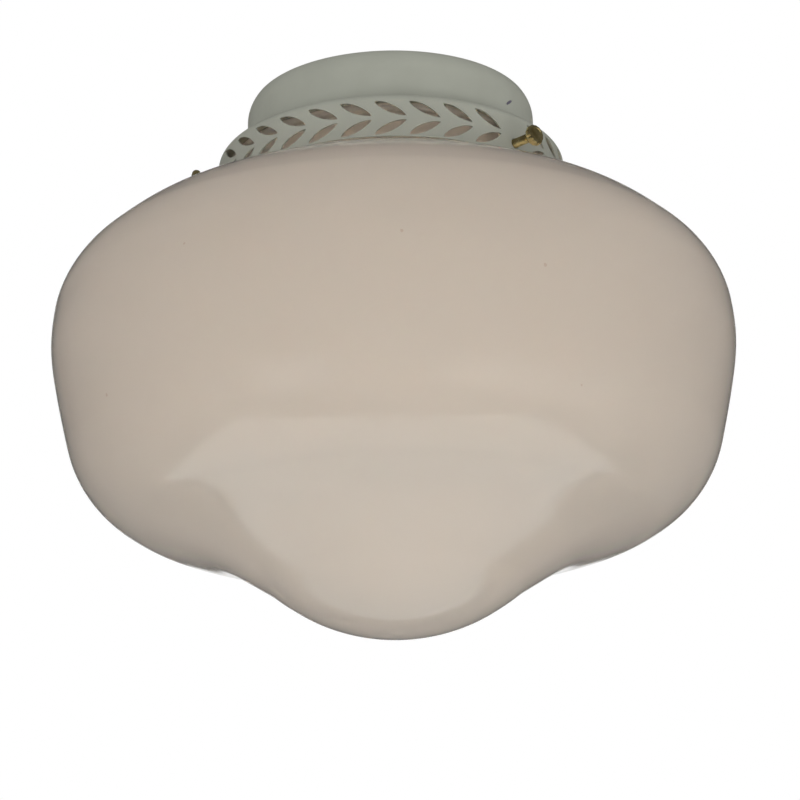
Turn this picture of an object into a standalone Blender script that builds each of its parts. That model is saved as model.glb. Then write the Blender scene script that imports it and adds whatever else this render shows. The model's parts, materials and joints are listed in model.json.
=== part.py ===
"""Ceiling fan light kit: a shallow collar and a pierced fitter pan clamped on a threaded nipple,
a twin lamp bracket, and a schoolhouse globe held by three thumbscrews.

The origin is the centre of the collar's rim, which meets the fan. +Z points up to the fan, and the
photographed front faces -Y. An azimuth is measured from -Y towards +X.
"""

from math import acos, ceil, cos, hypot, pi, radians, sin, tan

import bmesh
import bpy
from mathutils import Euler, Matrix, Vector

MM = 0.001

# Clearances
GAP = 0.3 * MM
OVERRUN = 3.0 * MM
WELD = 0.001 * MM

# Fitter pan, which the collar, the globe's neck and the pad follow
SHEET = 0.8 * MM
PAN_RADIUS = 79.2 * MM
PAN_DEPTH = 22.9 * MM
PAN_CORNER = 4.2 * MM
PAN_TOP_SLOPE = radians(12)
BOSS_RADIUS = 3.9 * MM
BOSS_DEPTH = 2.4 * MM

# Collar, set back from the pan's side
COLLAR_SETBACK = 13.3 * MM
COLLAR_TAPER = 2.8 * MM
COLLAR_CROWN = 12.8 * MM
COLLAR_HEIGHT = 25.2 * MM
COLLAR_LIP = 3.6 * MM
COLLAR_BEND = 2.2 * MM
COLLAR_INNER_CROWN_SHARE = 0.9

# Leaf slots, in two rows that lean towards each other
LEAF_LENGTH = 15.2 * MM
LEAF_WIDTH = 3.8 * MM
LEAF_SPACING = 15.1 * MM
LEAF_TILT = radians(26)
LEAF_BLUNT_SHARE = 0.12
LEAF_FULLNESS_SHARE = 0.75
LEAF_POINTS = 3
UPPER_ROW_HEIGHT = 13.2 * MM
LOWER_ROW_HEIGHT = 4.5 * MM

# Thumbscrews
SCREW_COUNT = 3
SCREW_AZIMUTH = radians(43.7)
SCREW_HEIGHT = 5.3 * MM
SCREW_TO_BEAD = 0.4 * MM
STUD_RADIUS = 2.08 * MM
STUD_LENGTH = 14.0 * MM
STUD_IN_HEAD = 2.0 * MM
STUD_CHAMFER = 0.5 * MM
KNOB_RADIUS = 4.7 * MM
KNOB_THICKNESS = 3.6 * MM
KNOB_EDGE = 1.3 * MM
KNOB_FLUTES = 14
KNOB_FLUTE_SHARE = 0.06

# Globe: neck and bead, then the outline's arcs from the shoulder down to the tip
GLASS_WALL = 3.0 * MM
BEAD_SETBACK = 4.7 * MM
BEAD_STANDOUT = 3.0 * MM
BEAD_HEIGHT = 4.0 * MM
NECK_LENGTH = 14.0 * MM
SHOULDER_TO_PAN = 1.0 * MM
SHOULDER_SLOPE = radians(24)
NECK_FILLET = 3.5 * MM
GLOBE_RADIUS = 153.0 * MM
UPPER_SHOULDER_RADIUS = 98.0 * MM
UPPER_SHOULDER_END = radians(45)
SHOULDER_RADIUS = 41.5 * MM
SHOULDER_END = radians(80)
BELLY_RADIUS = 79.0 * MM
SIDE_SLOPE = radians(102)
SIDE_LENGTH = 29.3 * MM
LOWER_CORNER_RADIUS = 50.1 * MM
LOWER_CORNER_END = radians(165)
HOLLOW_RADIUS = 150.0 * MM
TIP_SLOPE = radians(143.7)
TIP_RADIUS = 85.2 * MM

# Hanger nipple and its fasteners
NIPPLE_RADIUS = 5.15 * MM
NIPPLE_BORE = 3.7 * MM
NIPPLE_STANDOFF = 10.0 * MM
NIPPLE_TAIL = 3.4 * MM
NIPPLE_CHAMFER = 0.6 * MM
NUT_CORNER_RADIUS = 8.25 * MM
NUT_THICKNESS = 4.0 * MM
NUT_CHAMFER = 0.8 * MM
WASHER_RADIUS = 8.3 * MM
WASHER_THICKNESS = 0.9 * MM
WASHER_TEETH = 12
WASHER_TOOTH_SHARE = 0.13

# Insulation pad
PAD_SETBACK = 17.2 * MM
PAD_THICKNESS = 4.0 * MM

# Socket bracket
STRAP_THICKNESS = 1.5 * MM
STRAP_HALF_WIDTH = 10.0 * MM
STRAP_CENTRE_HALF = 10.5 * MM
STRAP_BEND = 2.0 * MM
STRAP_BEND_STEPS = 3
STRAP_END_ANGLES = (0, radians(30), radians(60), radians(80))
SEAT_OUTWARD = 15.0 * MM

# Sockets
SOCKET_OFFSET = 22.5 * MM
SOCKET_DROP = 9.5 * MM
SOCKET_TILT = radians(12)
PORCELAIN_RADIUS = 18.0 * MM
PORCELAIN_LENGTH = 40.0 * MM
PORCELAIN_ROOF = 8.0 * MM
PORCELAIN_EDGE = 1.6 * MM
PORCELAIN_WAIST_SHARE = 0.93
SHELL_THICKNESS = 0.5 * MM
SHELL_LENGTH = 29.5 * MM
SHELL_TURNS = 5
CONTACT_RADIUS = 5.2 * MM
CONTACT_THICKNESS = 0.8 * MM
CONTACT_RISE = 3.0 * MM
CONTACT_DOME_SHARE = 0.75
CONTACT_CROWN_SHARE = 0.5
SOCKET_SCREW_RADIUS = 1.7 * MM
SOCKET_SCREW_HEAD_RADIUS = 3.2 * MM
SOCKET_SCREW_HEAD = 2.0 * MM
SOCKET_SCREW_DEPTH = 5.0 * MM
SOCKET_SCREW_INWARD = 6.0 * MM
SOCKET_SCREW_OUTWARD = 9.0 * MM

# Lamps
THREAD_PITCH = 3.63 * MM
THREAD_RADIUS = 13.1 * MM
THREAD_DEPTH = 0.7 * MM
THREAD_TURNS = 4
CAP_SHEET = 0.4 * MM
CAP_SKIRT = 4.0 * MM
CAP_COLLAR = 1.6 * MM
CAP_END_RADIUS = 9.6 * MM
INSULATOR_DEPTH = 4.6 * MM
TIP_CONTACT_RADIUS = 4.6 * MM
TIP_CONTACT_RISE = 1.6 * MM
LAMP_LENGTH = 89.0 * MM
LAMP_RADIUS = 23.8 * MM
LAMP_NECK_RADIUS = 11.6 * MM
LAMP_GLASS = 0.8 * MM
LAMP_IN_CAP = 8.0 * MM
LAMP_BALL_END = radians(15)
LAMP_FLARE_SHARES = (0.35, 0.7)

# Leads, their bushing and their connectors
LEAD_RADIUS = 1.1 * MM
LEAD_SPACING = 3.1 * MM
LEAD_EXIT_SPREAD = 5.0 * MM
LEAD_EXIT_BACK = 13.5 * MM
LEAD_BEND = 5.0 * MM
LEAD_RUN = 5.0 * MM
LEAD_STEP = 3.2 * MM
BUSHING_BACK = 30.0 * MM
BUSHING_BORE = 4.2 * MM
BUSHING_RADIUS = 6.0 * MM
BUSHING_FLANGE = 2.2 * MM
BUSHING_FLANGE_HEIGHT = 1.5 * MM
BUSHING_BARB = 0.9 * MM
CONNECTOR_RADIUS = 5.3 * MM
CONNECTOR_LENGTH = 20.0 * MM
CONNECTOR_BORE = 3.1 * MM
CONNECTOR_BORE_DEPTH = 11.0 * MM
CONNECTOR_FLUTES = 8
CONNECTOR_FLUTE_SHARE = 0.08
CONNECTOR_BARREL_SHARE = 0.3
CONNECTOR_NOSE_SHARE = 0.93
CONNECTOR_NOSE_RADIUS_SHARE = 0.62
CONNECTOR_END_RADIUS_SHARE = 0.43

# Facets round each kind of piece. The pan has whole facets in each leaf's place.
GLOBE_FACETS = 44
COLLAR_FACETS = 44
PAN_FACETS_PER_PLACE = 2
NUT_FACETS = 24
PORCELAIN_FACETS = 20
SMALL_FACETS = 16
TINY_FACETS = 12
ARC_STEP = radians(12)
COARSE_STEP = radians(24)
CORNER_STEP = radians(45)
SHARP_EDGE = radians(30)

# Radii and counts that follow from the sizes above
COLLAR_RADIUS = PAN_RADIUS - COLLAR_SETBACK
COLLAR_RIM_RADIUS = COLLAR_RADIUS - COLLAR_TAPER
BEAD_RADIUS = PAN_RADIUS - BEAD_SETBACK
NECK_RADIUS = BEAD_RADIUS - BEAD_STANDOUT
PAD_RADIUS = PAN_RADIUS - PAD_SETBACK
LEAF_PLACES_PER_SCREW = round(2 * pi * PAN_RADIUS / SCREW_COUNT / LEAF_SPACING)
LEAF_PLACES = LEAF_PLACES_PER_SCREW * SCREW_COUNT
STUD_TIP = BEAD_RADIUS + SCREW_TO_BEAD
KNOB_INNER_FACE = STUD_TIP + STUD_LENGTH
CONNECTOR_OUT = LEAD_SPACING / 2 + 2 * LEAD_BEND + LEAD_RUN

# Heights that follow from the sizes above
PAN_TOP = -COLLAR_HEIGHT - GAP
PAN_EDGE = PAN_TOP - PAN_DEPTH
PAN_UNDERSIDE = PAN_TOP - SHEET
PAD_TOP = PAN_UNDERSIDE - GAP
STRAP_TOP = PAD_TOP - PAD_THICKNESS - GAP
STRAP_UNDERSIDE = STRAP_TOP - STRAP_THICKNESS
LOWER_NUT_TOP = STRAP_UNDERSIDE - GAP
NIPPLE_END = LOWER_NUT_TOP - NUT_THICKNESS - NIPPLE_TAIL
SOCKET_TOP = STRAP_UNDERSIDE - SOCKET_DROP
COLLAR_FLOOR = -COLLAR_HEIGHT + SHEET
SCREW_LEVEL = PAN_EDGE + SCREW_HEIGHT


def clear_scene():
    for old in list(bpy.data.objects):
        bpy.data.objects.remove(old, do_unlink=True)


def material(name, colour, roughness, metallic=0.0):
    made = bpy.data.materials.new(name)
    made.use_nodes = True
    shader = made.node_tree.nodes["Principled BSDF"]
    shader.inputs["Base Color"].default_value = (*colour, 1.0)
    shader.inputs["Roughness"].default_value = roughness
    shader.inputs["Metallic"].default_value = metallic
    return made


def empty(name, location, rotation):
    frame = bpy.data.objects.new(name, None)
    frame.location = location
    frame.rotation_euler = rotation
    bpy.context.collection.objects.link(frame)
    return frame


def object_from(name, bm, finish=None, parent=None):
    """Links a bmesh to the scene as an object, with smooth faces and sharp edges."""
    bmesh.ops.recalc_face_normals(bm, faces=bm.faces)
    mesh = bpy.data.meshes.new(name)
    bm.to_mesh(mesh)
    bm.free()
    mesh.shade_smooth()
    mesh.set_sharp_from_angle(angle=SHARP_EDGE)
    made = bpy.data.objects.new(name, mesh)
    bpy.context.collection.objects.link(made)
    if finish:
        mesh.materials.append(finish)
    if parent:
        made.parent = parent
    return made


def arc(centre, radius, start, end, step=ARC_STEP):
    """Points on an arc of an outline, both ends included. Angles are from +r, anticlockwise."""
    count = max(1, ceil(abs(end - start) / step))
    angles = [start + (end - start) * i / count for i in range(count + 1)]
    return [(centre[0] + radius * cos(a), centre[1] + radius * sin(a)) for a in angles]


def turn(bm, outline, facets, warp=None):
    """Spins an outline of (radius, height) points about Z. One that is off the axis is a ring."""
    corners = [bm.verts.new((r, 0, z)) for r, z in outline]
    edges = [bm.edges.new(pair) for pair in zip(corners, corners[1:])]
    if outline[0][0] > WELD:
        edges.append(bm.edges.new((corners[-1], corners[0])))
    bmesh.ops.spin(
        bm, geom=corners + edges, cent=(0, 0, 0), axis=(0, 0, 1), angle=2 * pi, steps=facets, use_merge=True
    )
    bmesh.ops.remove_doubles(bm, verts=bm.verts, dist=WELD)
    if warp:
        for corner in bm.verts:
            share = warp(corner.co)
            corner.co.x *= share
            corner.co.y *= share


def turned(name, outline, facets, finish=None, parent=None, warp=None):
    bm = bmesh.new()
    turn(bm, outline, facets, warp)
    return object_from(name, bm, finish, parent)


def fluted(count, depth_share, inner_radius):
    """A warp that draws every second point in, outside inner_radius. It takes 2 facets a flute."""

    def share(point):
        if hypot(point.x, point.y) <= inner_radius:
            return 1.0
        place = Vector((point.x, point.y)).angle_signed(Vector((1, 0))) * count / pi
        return 1.0 - depth_share * (round(place) % 2)

    return share


def hexagonal(inner_radius):
    """A warp that brings points outside inner_radius to the flats of a hexagon."""

    def share(point):
        if hypot(point.x, point.y) <= inner_radius:
            return 1.0
        side = Vector((point.x, point.y)).angle_signed(Vector((1, 0))) % (pi / 3) - pi / 6
        return cos(pi / 6) / cos(side)

    return share


def cylinder(bm, radius, bottom, top, facets, turned_by=None):
    """Adds a closed cylinder along Z, or along the Z of the matrix turned_by."""
    made = bmesh.ops.create_cone(
        bm, cap_ends=True, segments=facets, radius1=radius, radius2=radius, depth=top - bottom
    )
    bmesh.ops.translate(bm, verts=made["verts"], vec=(0, 0, (top + bottom) / 2))
    if turned_by:
        bmesh.ops.transform(bm, verts=made["verts"], matrix=turned_by)


def boolean(target, tool, operation):
    """Cuts the target with a hidden tool, or joins it to that tool."""
    tool.hide_render = True
    tool.display_type = "WIRE"
    modifier = target.modifiers.new(f"{operation.lower()} {tool.name}", "BOOLEAN")
    modifier.object = tool
    modifier.operation = operation
    modifier.solver = "EXACT"


def radial(azimuth, level):
    """The frame whose Z runs outward from the object's axis at an azimuth, at one level."""
    return Euler((pi / 2, 0, azimuth)), (0, 0, level)


def radial_matrix(azimuth, level):
    rotation, location = radial(azimuth, level)
    matrix = rotation.to_matrix().to_4x4()
    matrix.translation = location
    return matrix


def screw_azimuths():
    return [SCREW_AZIMUTH + 2 * pi * i / SCREW_COUNT for i in range(SCREW_COUNT)]


# Sheet metal


def sheet_shell(outer):
    """Closes an open outline into a sheet, by a copy of it one sheet thickness further in."""
    points = [Vector(point) for point in outer]
    runs = [(after - before).normalized() for before, after in zip(points, points[1:])]
    inner = []
    for point, before, after in zip(points, runs[:1] + runs, runs + runs[-1:]):
        run = (before + after).normalized()
        inward = Vector((run.y, -run.x)) * SHEET / run.dot(after)
        inner.append(tuple(point + inward))
    return outer + inner[::-1]


def holes_for_wiring(bm, bottom, top):
    """The nipple's hole and the bushing's hole, through whatever lies between two levels."""
    cylinder(bm, NIPPLE_RADIUS + GAP, bottom, top, SMALL_FACETS)
    before = set(bm.verts)
    cylinder(bm, BUSHING_RADIUS + GAP, bottom, top, SMALL_FACETS)
    moved = [corner for corner in bm.verts if corner not in before]
    bmesh.ops.translate(bm, verts=moved, vec=(0, BUSHING_BACK, 0))


def make_collar(paint):
    """A drawn cup, open at the top, that curves in to a rim turned over to a flat ring."""
    bend = (COLLAR_RADIUS - COLLAR_BEND, -COLLAR_HEIGHT + COLLAR_BEND)
    crown_end = acos(1 - (COLLAR_RADIUS - COLLAR_RIM_RADIUS) / COLLAR_CROWN)
    crown = (COLLAR_RADIUS - COLLAR_CROWN, -COLLAR_CROWN * sin(crown_end))
    lip_end = COLLAR_RIM_RADIUS - COLLAR_LIP
    outline = [(0, -COLLAR_HEIGHT)]
    outline += arc(bend, COLLAR_BEND, -pi / 2, 0, CORNER_STEP)
    outline += arc(crown, COLLAR_CROWN, 0, crown_end)
    outline += [(lip_end, 0), (lip_end, -SHEET)]
    outline += arc(crown, COLLAR_CROWN - SHEET, crown_end * COLLAR_INNER_CROWN_SHARE, 0)
    outline += arc(bend, COLLAR_BEND - SHEET, 0, -pi / 2, CORNER_STEP)
    outline += [(0, COLLAR_FLOOR)]
    collar = turned("mounting_collar", outline, COLLAR_FACETS, paint)
    bm = bmesh.new()
    holes_for_wiring(bm, -COLLAR_HEIGHT - OVERRUN, COLLAR_FLOOR + OVERRUN)
    boolean(collar, object_from("collar_holes", bm), "DIFFERENCE")


def pan_outline():
    """The pan's outer side: flat under the collar, a shallow slope, a corner and an upright skirt."""
    corner_start = pi / 2 - PAN_TOP_SLOPE
    corner_r = PAN_RADIUS - PAN_CORNER
    slope_run = corner_r + PAN_CORNER * cos(corner_start) - COLLAR_RADIUS
    slope_end = PAN_TOP - slope_run * tan(PAN_TOP_SLOPE)
    corner_z = slope_end - PAN_CORNER * sin(corner_start)
    outer = [(0, PAN_TOP), (COLLAR_RADIUS, PAN_TOP)]
    outer += arc((corner_r, corner_z), PAN_CORNER, corner_start, 0, COARSE_STEP)
    outer += [(PAN_RADIUS, PAN_EDGE)]
    return outer


def leaf_outline():
    """A full leaf lying along X, a little blunter at -X."""
    upper = []
    for i in range(2 * LEAF_POINTS + 1):
        along = -cos(pi * i / (2 * LEAF_POINTS))
        width = (1 - along * along) ** LEAF_FULLNESS_SHARE * (1 - LEAF_BLUNT_SHARE * along)
        upper.append((along * LEAF_LENGTH / 2, width * LEAF_WIDTH / 2))
    lower = [(x, -y) for x, y in upper[-2:0:-1]]
    return upper + lower


def add_leaf_cutter(bm, azimuth, level, tilt):
    """A prism through the skirt. In the radial frame, X runs along the skirt and Y runs up."""
    inner_end = PAN_RADIUS - SHEET - OVERRUN
    leaning = Matrix.Rotation(tilt, 3, "Z")
    outline = [leaning @ Vector((x, y, inner_end)) for x, y in leaf_outline()]
    face = bm.faces.new([bm.verts.new(point) for point in outline])
    grown = bmesh.ops.extrude_face_region(bm, geom=[face])["geom"]
    moved = [item for item in grown if isinstance(item, bmesh.types.BMVert)]
    bmesh.ops.translate(bm, verts=moved, vec=(0, 0, SHEET + 2 * OVERRUN))
    both_ends = list(face.verts) + moved
    bmesh.ops.transform(bm, verts=both_ends, matrix=radial_matrix(azimuth, level))


def make_pan(paint):
    pan = turned("fitter_pan", sheet_shell(pan_outline()), LEAF_PLACES * PAN_FACETS_PER_PLACE, paint)
    bosses = bmesh.new()
    boss_root = PAN_RADIUS - SHEET / 2
    for azimuth in screw_azimuths():
        turned_by = radial_matrix(azimuth, SCREW_LEVEL)
        cylinder(bosses, BOSS_RADIUS, PAN_RADIUS - SHEET - BOSS_DEPTH, boss_root, TINY_FACETS, turned_by)
    boolean(pan, object_from("screw_bosses", bosses), "UNION")
    cuts = bmesh.new()
    holes_for_wiring(cuts, PAN_UNDERSIDE - OVERRUN, PAN_TOP + OVERRUN)
    for azimuth in screw_azimuths():
        turned_by = radial_matrix(azimuth, SCREW_LEVEL)
        inner_end = PAN_RADIUS - SHEET - BOSS_DEPTH - OVERRUN
        cylinder(cuts, STUD_RADIUS + GAP, inner_end, PAN_RADIUS + OVERRUN, TINY_FACETS, turned_by)
    for place in range(LEAF_PLACES):
        if place % LEAF_PLACES_PER_SCREW == 0:
            continue
        azimuth = SCREW_AZIMUTH + 2 * pi * place / LEAF_PLACES
        add_leaf_cutter(cuts, azimuth, PAN_EDGE + UPPER_ROW_HEIGHT, -LEAF_TILT)
        add_leaf_cutter(cuts, azimuth, PAN_EDGE + LOWER_ROW_HEIGHT, LEAF_TILT)
    boolean(pan, object_from("pan_openings", cuts), "DIFFERENCE")


def make_thumbscrews(brass):
    """Each thumbscrew has a fluted knob on a threaded stud, both on one radial axis."""
    knob_end = KNOB_INNER_FACE + KNOB_THICKNESS
    stud_end = KNOB_INNER_FACE + STUD_IN_HEAD
    bore = STUD_RADIUS + GAP
    rim = KNOB_RADIUS - KNOB_EDGE
    knob_outline = [(0, stud_end + GAP), (bore, stud_end + GAP), (bore, KNOB_INNER_FACE)]
    knob_outline += [(rim, KNOB_INNER_FACE), (KNOB_RADIUS, KNOB_INNER_FACE + KNOB_EDGE)]
    knob_outline += [(KNOB_RADIUS, knob_end - KNOB_EDGE), (rim, knob_end), (0, knob_end)]
    stud_outline = [(0, STUD_TIP), (STUD_RADIUS - STUD_CHAMFER, STUD_TIP)]
    stud_outline += [(STUD_RADIUS, STUD_TIP + STUD_CHAMFER), (STUD_RADIUS, stud_end), (0, stud_end)]
    flutes = fluted(KNOB_FLUTES, KNOB_FLUTE_SHARE, rim + WELD)
    for letter, azimuth in zip("abc", screw_azimuths()):
        rotation, location = radial(azimuth, SCREW_LEVEL)
        axis = empty(f"thumbscrew_axis_{letter}", location, rotation)
        turned(f"thumbscrew_knob_{letter}", knob_outline, 2 * KNOB_FLUTES, brass, axis, flutes)
        turned(f"thumbscrew_stud_{letter}", stud_outline, TINY_FACETS, brass, axis)


# Globe


def globe_wall(inset, step, fillet_step):
    """One side of the glass from the neck's foot to the tip, set in from the outer surface.

    Each stretch is given by the slope of the wall as it runs outward and down: 0 is level and a
    right angle is upright. Past that the wall runs back in towards the tip.
    """

    outer = []

    def bend(centre, radius, start, end, hollow=False, bend_step=step):
        reach = radius + inset if hollow else radius - inset
        turn_by = pi if hollow else 0
        outer.extend(arc(centre, reach, pi / 2 - start + turn_by, pi / 2 - end + turn_by, bend_step))

    def run_on(point, slope, length):
        return point[0] + length * cos(slope), point[1] - length * sin(slope)

    def centre_of(point, slope, radius, hollow=False):
        side = -1 if hollow else 1
        return point[0] - side * radius * sin(slope), point[1] - side * radius * cos(slope)

    def end_of(centre, radius, slope, hollow=False):
        side = -1 if hollow else 1
        return centre[0] + side * radius * sin(slope), centre[1] + side * radius * cos(slope)

    shoulder_at_pan = (PAN_RADIUS, PAN_EDGE - SHOULDER_TO_PAN)
    fillet_end_r = NECK_RADIUS + NECK_FILLET * (1 - cos(pi / 2 - SHOULDER_SLOPE))
    to_pan = (PAN_RADIUS - fillet_end_r) / cos(SHOULDER_SLOPE)
    fillet_end = run_on(shoulder_at_pan, SHOULDER_SLOPE, -to_pan)
    fillet_centre = centre_of(fillet_end, SHOULDER_SLOPE, NECK_FILLET, hollow=True)
    bend(fillet_centre, NECK_FILLET, pi / 2, SHOULDER_SLOPE, hollow=True, bend_step=fillet_step)

    reach = UPPER_SHOULDER_RADIUS * (sin(UPPER_SHOULDER_END) - sin(SHOULDER_SLOPE))
    reach += SHOULDER_RADIUS * (sin(SHOULDER_END) - sin(UPPER_SHOULDER_END))
    reach += BELLY_RADIUS * (1 - sin(SHOULDER_END))
    straight = (GLOBE_RADIUS - reach - fillet_end[0]) / cos(SHOULDER_SLOPE)
    point = run_on(fillet_end, SHOULDER_SLOPE, straight)
    slope = SHOULDER_SLOPE
    stretches = [
        (UPPER_SHOULDER_RADIUS, UPPER_SHOULDER_END),
        (SHOULDER_RADIUS, SHOULDER_END),
        (BELLY_RADIUS, SIDE_SLOPE),
    ]
    for radius, end in stretches:
        centre = centre_of(point, slope, radius)
        bend(centre, radius, slope, end)
        point, slope = end_of(centre, radius, end), end

    point = run_on(point, SIDE_SLOPE, SIDE_LENGTH)
    centre = centre_of(point, SIDE_SLOPE, LOWER_CORNER_RADIUS)
    bend(centre, LOWER_CORNER_RADIUS, SIDE_SLOPE, LOWER_CORNER_END)
    point = end_of(centre, LOWER_CORNER_RADIUS, LOWER_CORNER_END)
    centre = centre_of(point, LOWER_CORNER_END, HOLLOW_RADIUS, hollow=True)
    bend(centre, HOLLOW_RADIUS, LOWER_CORNER_END, TIP_SLOPE, hollow=True)
    point = end_of(centre, HOLLOW_RADIUS, TIP_SLOPE, hollow=True)
    tip_start_r = TIP_RADIUS * sin(TIP_SLOPE)
    point = run_on(point, TIP_SLOPE, (point[0] - tip_start_r) / -cos(TIP_SLOPE))
    centre = centre_of(point, TIP_SLOPE, TIP_RADIUS)
    bend((0, centre[1]), TIP_RADIUS, TIP_SLOPE, pi)
    outer[-1] = (0, outer[-1][1])
    return outer


def make_globe(opal):
    outside = globe_wall(0, ARC_STEP, COARSE_STEP)
    inside = globe_wall(GLASS_WALL, ARC_STEP, CORNER_STEP)
    neck_foot = outside[0][1]
    lip = neck_foot + NECK_LENGTH
    bead_r = BEAD_HEIGHT / 2
    bead = arc((BEAD_RADIUS - bead_r, lip - bead_r), bead_r, pi / 2, -pi / 3, COARSE_STEP)
    rim_inner = NECK_RADIUS - GLASS_WALL
    mouth = arc((rim_inner + bead_r / 2, lip - bead_r / 2), bead_r / 2, pi, pi / 2, CORNER_STEP)
    under_bead = [(NECK_RADIUS, lip - BEAD_HEIGHT)]
    outline = outside[::-1] + under_bead + bead[::-1] + mouth[::-1] + inside
    turned("glass_globe", outline, GLOBE_FACETS, opal)


# Hanger


def make_hanger(zinc, steel):
    """The nipple, a locknut and tooth washer in the collar, and a locknut under the bracket."""
    top = NIPPLE_STANDOFF
    rim = NIPPLE_RADIUS - NIPPLE_CHAMFER
    outline = [(NIPPLE_BORE, top), (NIPPLE_BORE, NIPPLE_END), (rim, NIPPLE_END)]
    outline += [(NIPPLE_RADIUS, NIPPLE_END + NIPPLE_CHAMFER), (NIPPLE_RADIUS, top - NIPPLE_CHAMFER)]
    outline += [(rim, top)]
    turned("hanger_nipple", outline, SMALL_FACETS, zinc)

    bore = NIPPLE_RADIUS + GAP
    washer_bottom = COLLAR_FLOOR + GAP
    washer_top = washer_bottom + WASHER_THICKNESS
    outline = [(bore, washer_bottom), (WASHER_RADIUS, washer_bottom)]
    outline += [(WASHER_RADIUS, washer_top), (bore, washer_top)]
    teeth = fluted(WASHER_TEETH, WASHER_TOOTH_SHARE, bore + WELD)
    turned("lock_washer", outline, 2 * WASHER_TEETH, steel, warp=teeth)

    chamfered = NUT_CORNER_RADIUS - NUT_CHAMFER
    lower_bottom = LOWER_NUT_TOP - NUT_THICKNESS
    for name, bottom in (("upper_locknut", washer_top + GAP), ("lower_locknut", lower_bottom)):
        nut_top = bottom + NUT_THICKNESS
        outline = [(bore, nut_top), (bore, bottom), (chamfered, bottom)]
        outline += [(NUT_CORNER_RADIUS, bottom + NUT_CHAMFER), (NUT_CORNER_RADIUS, nut_top - NUT_CHAMFER)]
        outline += [(chamfered, nut_top)]
        turned(name, outline, NUT_FACETS, zinc, warp=hexagonal(chamfered + WELD))


def make_pad(fibre):
    pad_bottom = PAD_TOP - PAD_THICKNESS
    outline = [(0, PAD_TOP), (PAD_RADIUS, PAD_TOP), (PAD_RADIUS, pad_bottom), (0, pad_bottom)]
    pad = turned("insulation_pad", outline, COLLAR_FACETS, fibre)
    bm = bmesh.new()
    cylinder(bm, NIPPLE_RADIUS + GAP, pad_bottom - OVERRUN, PAD_TOP + OVERRUN, SMALL_FACETS)
    before = set(bm.verts)
    hole = BUSHING_RADIUS + BUSHING_BARB + GAP
    cylinder(bm, hole, pad_bottom - OVERRUN, PAD_TOP + OVERRUN, SMALL_FACETS)
    moved = [corner for corner in bm.verts if corner not in before]
    bmesh.ops.translate(bm, verts=moved, vec=(0, BUSHING_BACK, 0))
    boolean(pad, object_from("pad_holes", bm), "DIFFERENCE")


# Bracket and sockets


def socket_frame(side):
    """The frame of a socket: its Z runs back up its axis, from the middle of its roof."""
    return (side * SOCKET_OFFSET, 0, SOCKET_TOP), (0, -side * SOCKET_TILT, 0)


def bracket_run():
    """The strap's middle line on the right, from the nipple out to the end of the socket's seat."""
    location, rotation = socket_frame(1)
    seat_height = GAP + STRAP_THICKNESS / 2
    up_the_axis = Euler(rotation).to_matrix()
    seat_end = Vector(location) + up_the_axis @ Vector((SEAT_OUTWARD, 0, seat_height))
    level = (STRAP_TOP + STRAP_UNDERSIDE) / 2
    first = Vector((STRAP_CENTRE_HALF, level))
    inward = (STRAP_CENTRE_HALF - location[0]) / cos(SOCKET_TILT)
    seat_start = Vector(location) + up_the_axis @ Vector((inward, 0, seat_height))
    second = Vector((seat_start.x, seat_start.z))
    return [Vector((0, level)), first, second, Vector((seat_end.x, seat_end.z))]


def rounded_run(corners, radius, steps):
    """Replaces each inner corner of a line with an arc."""
    line = [corners[0]]
    for before, corner, after in zip(corners, corners[1:], corners[2:]):
        start = (before - corner).normalized()
        end = (after - corner).normalized()
        half = start.angle(end) / 2
        setback = radius / tan(half)
        centre = corner + (start + end).normalized() * radius / sin(half)
        first = corner + start * setback - centre
        last = corner + end * setback - centre
        sweep = first.angle(last)
        for i in range(steps + 1):
            share = i / steps
            mixed = first * sin(sweep * (1 - share)) + last * sin(sweep * share)
            line.append(centre + mixed / sin(sweep))
    line.append(corners[-1])
    return line


def make_bracket(zinc):
    """A strap bent into a hat section with round ends, drilled for the nipple and four screws."""
    right = rounded_run(bracket_run(), STRAP_BEND, STRAP_BEND_STEPS)
    end_run = (right[-1] - right[-2]).normalized()
    flat_end = right[-1] - end_run * STRAP_HALF_WIDTH
    stations = [(point, STRAP_HALF_WIDTH) for point in right[:-1]]
    for angle in STRAP_END_ANGLES:
        point = flat_end + end_run * STRAP_HALF_WIDTH * sin(angle)
        stations.append((point, STRAP_HALF_WIDTH * cos(angle)))
    left = [(Vector((-point.x, point.y)), half) for point, half in stations[:0:-1]]
    bm = bmesh.new()
    rows = []
    for point, half in left + stations:
        rows.append([bm.verts.new((point.x, y, point.y)) for y in (-half, half)])
    for first, second in zip(rows, rows[1:]):
        bm.faces.new((first[0], second[0], second[1], first[1]))
    strap = object_from("socket_bracket", bm, zinc)
    solid = strap.modifiers.new("sheet thickness", "SOLIDIFY")
    solid.thickness = STRAP_THICKNESS
    solid.offset = 0
    solid.use_even_offset = True
    holes = bmesh.new()
    cylinder(holes, NIPPLE_RADIUS + GAP, STRAP_UNDERSIDE - OVERRUN, STRAP_TOP + OVERRUN, SMALL_FACETS)
    for side in (-1, 1):
        location, rotation = socket_frame(side)
        matrix = Euler(rotation).to_matrix().to_4x4()
        matrix.translation = location
        for spread in (-SOCKET_SCREW_INWARD, SOCKET_SCREW_OUTWARD):
            shifted = matrix.copy()
            shifted.translation = matrix @ Vector((side * spread, 0, 0))
            cylinder(holes, SOCKET_SCREW_RADIUS + GAP, -OVERRUN, OVERRUN, TINY_FACETS, shifted)
    boolean(strap, object_from("bracket_holes", holes), "DIFFERENCE")


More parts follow.
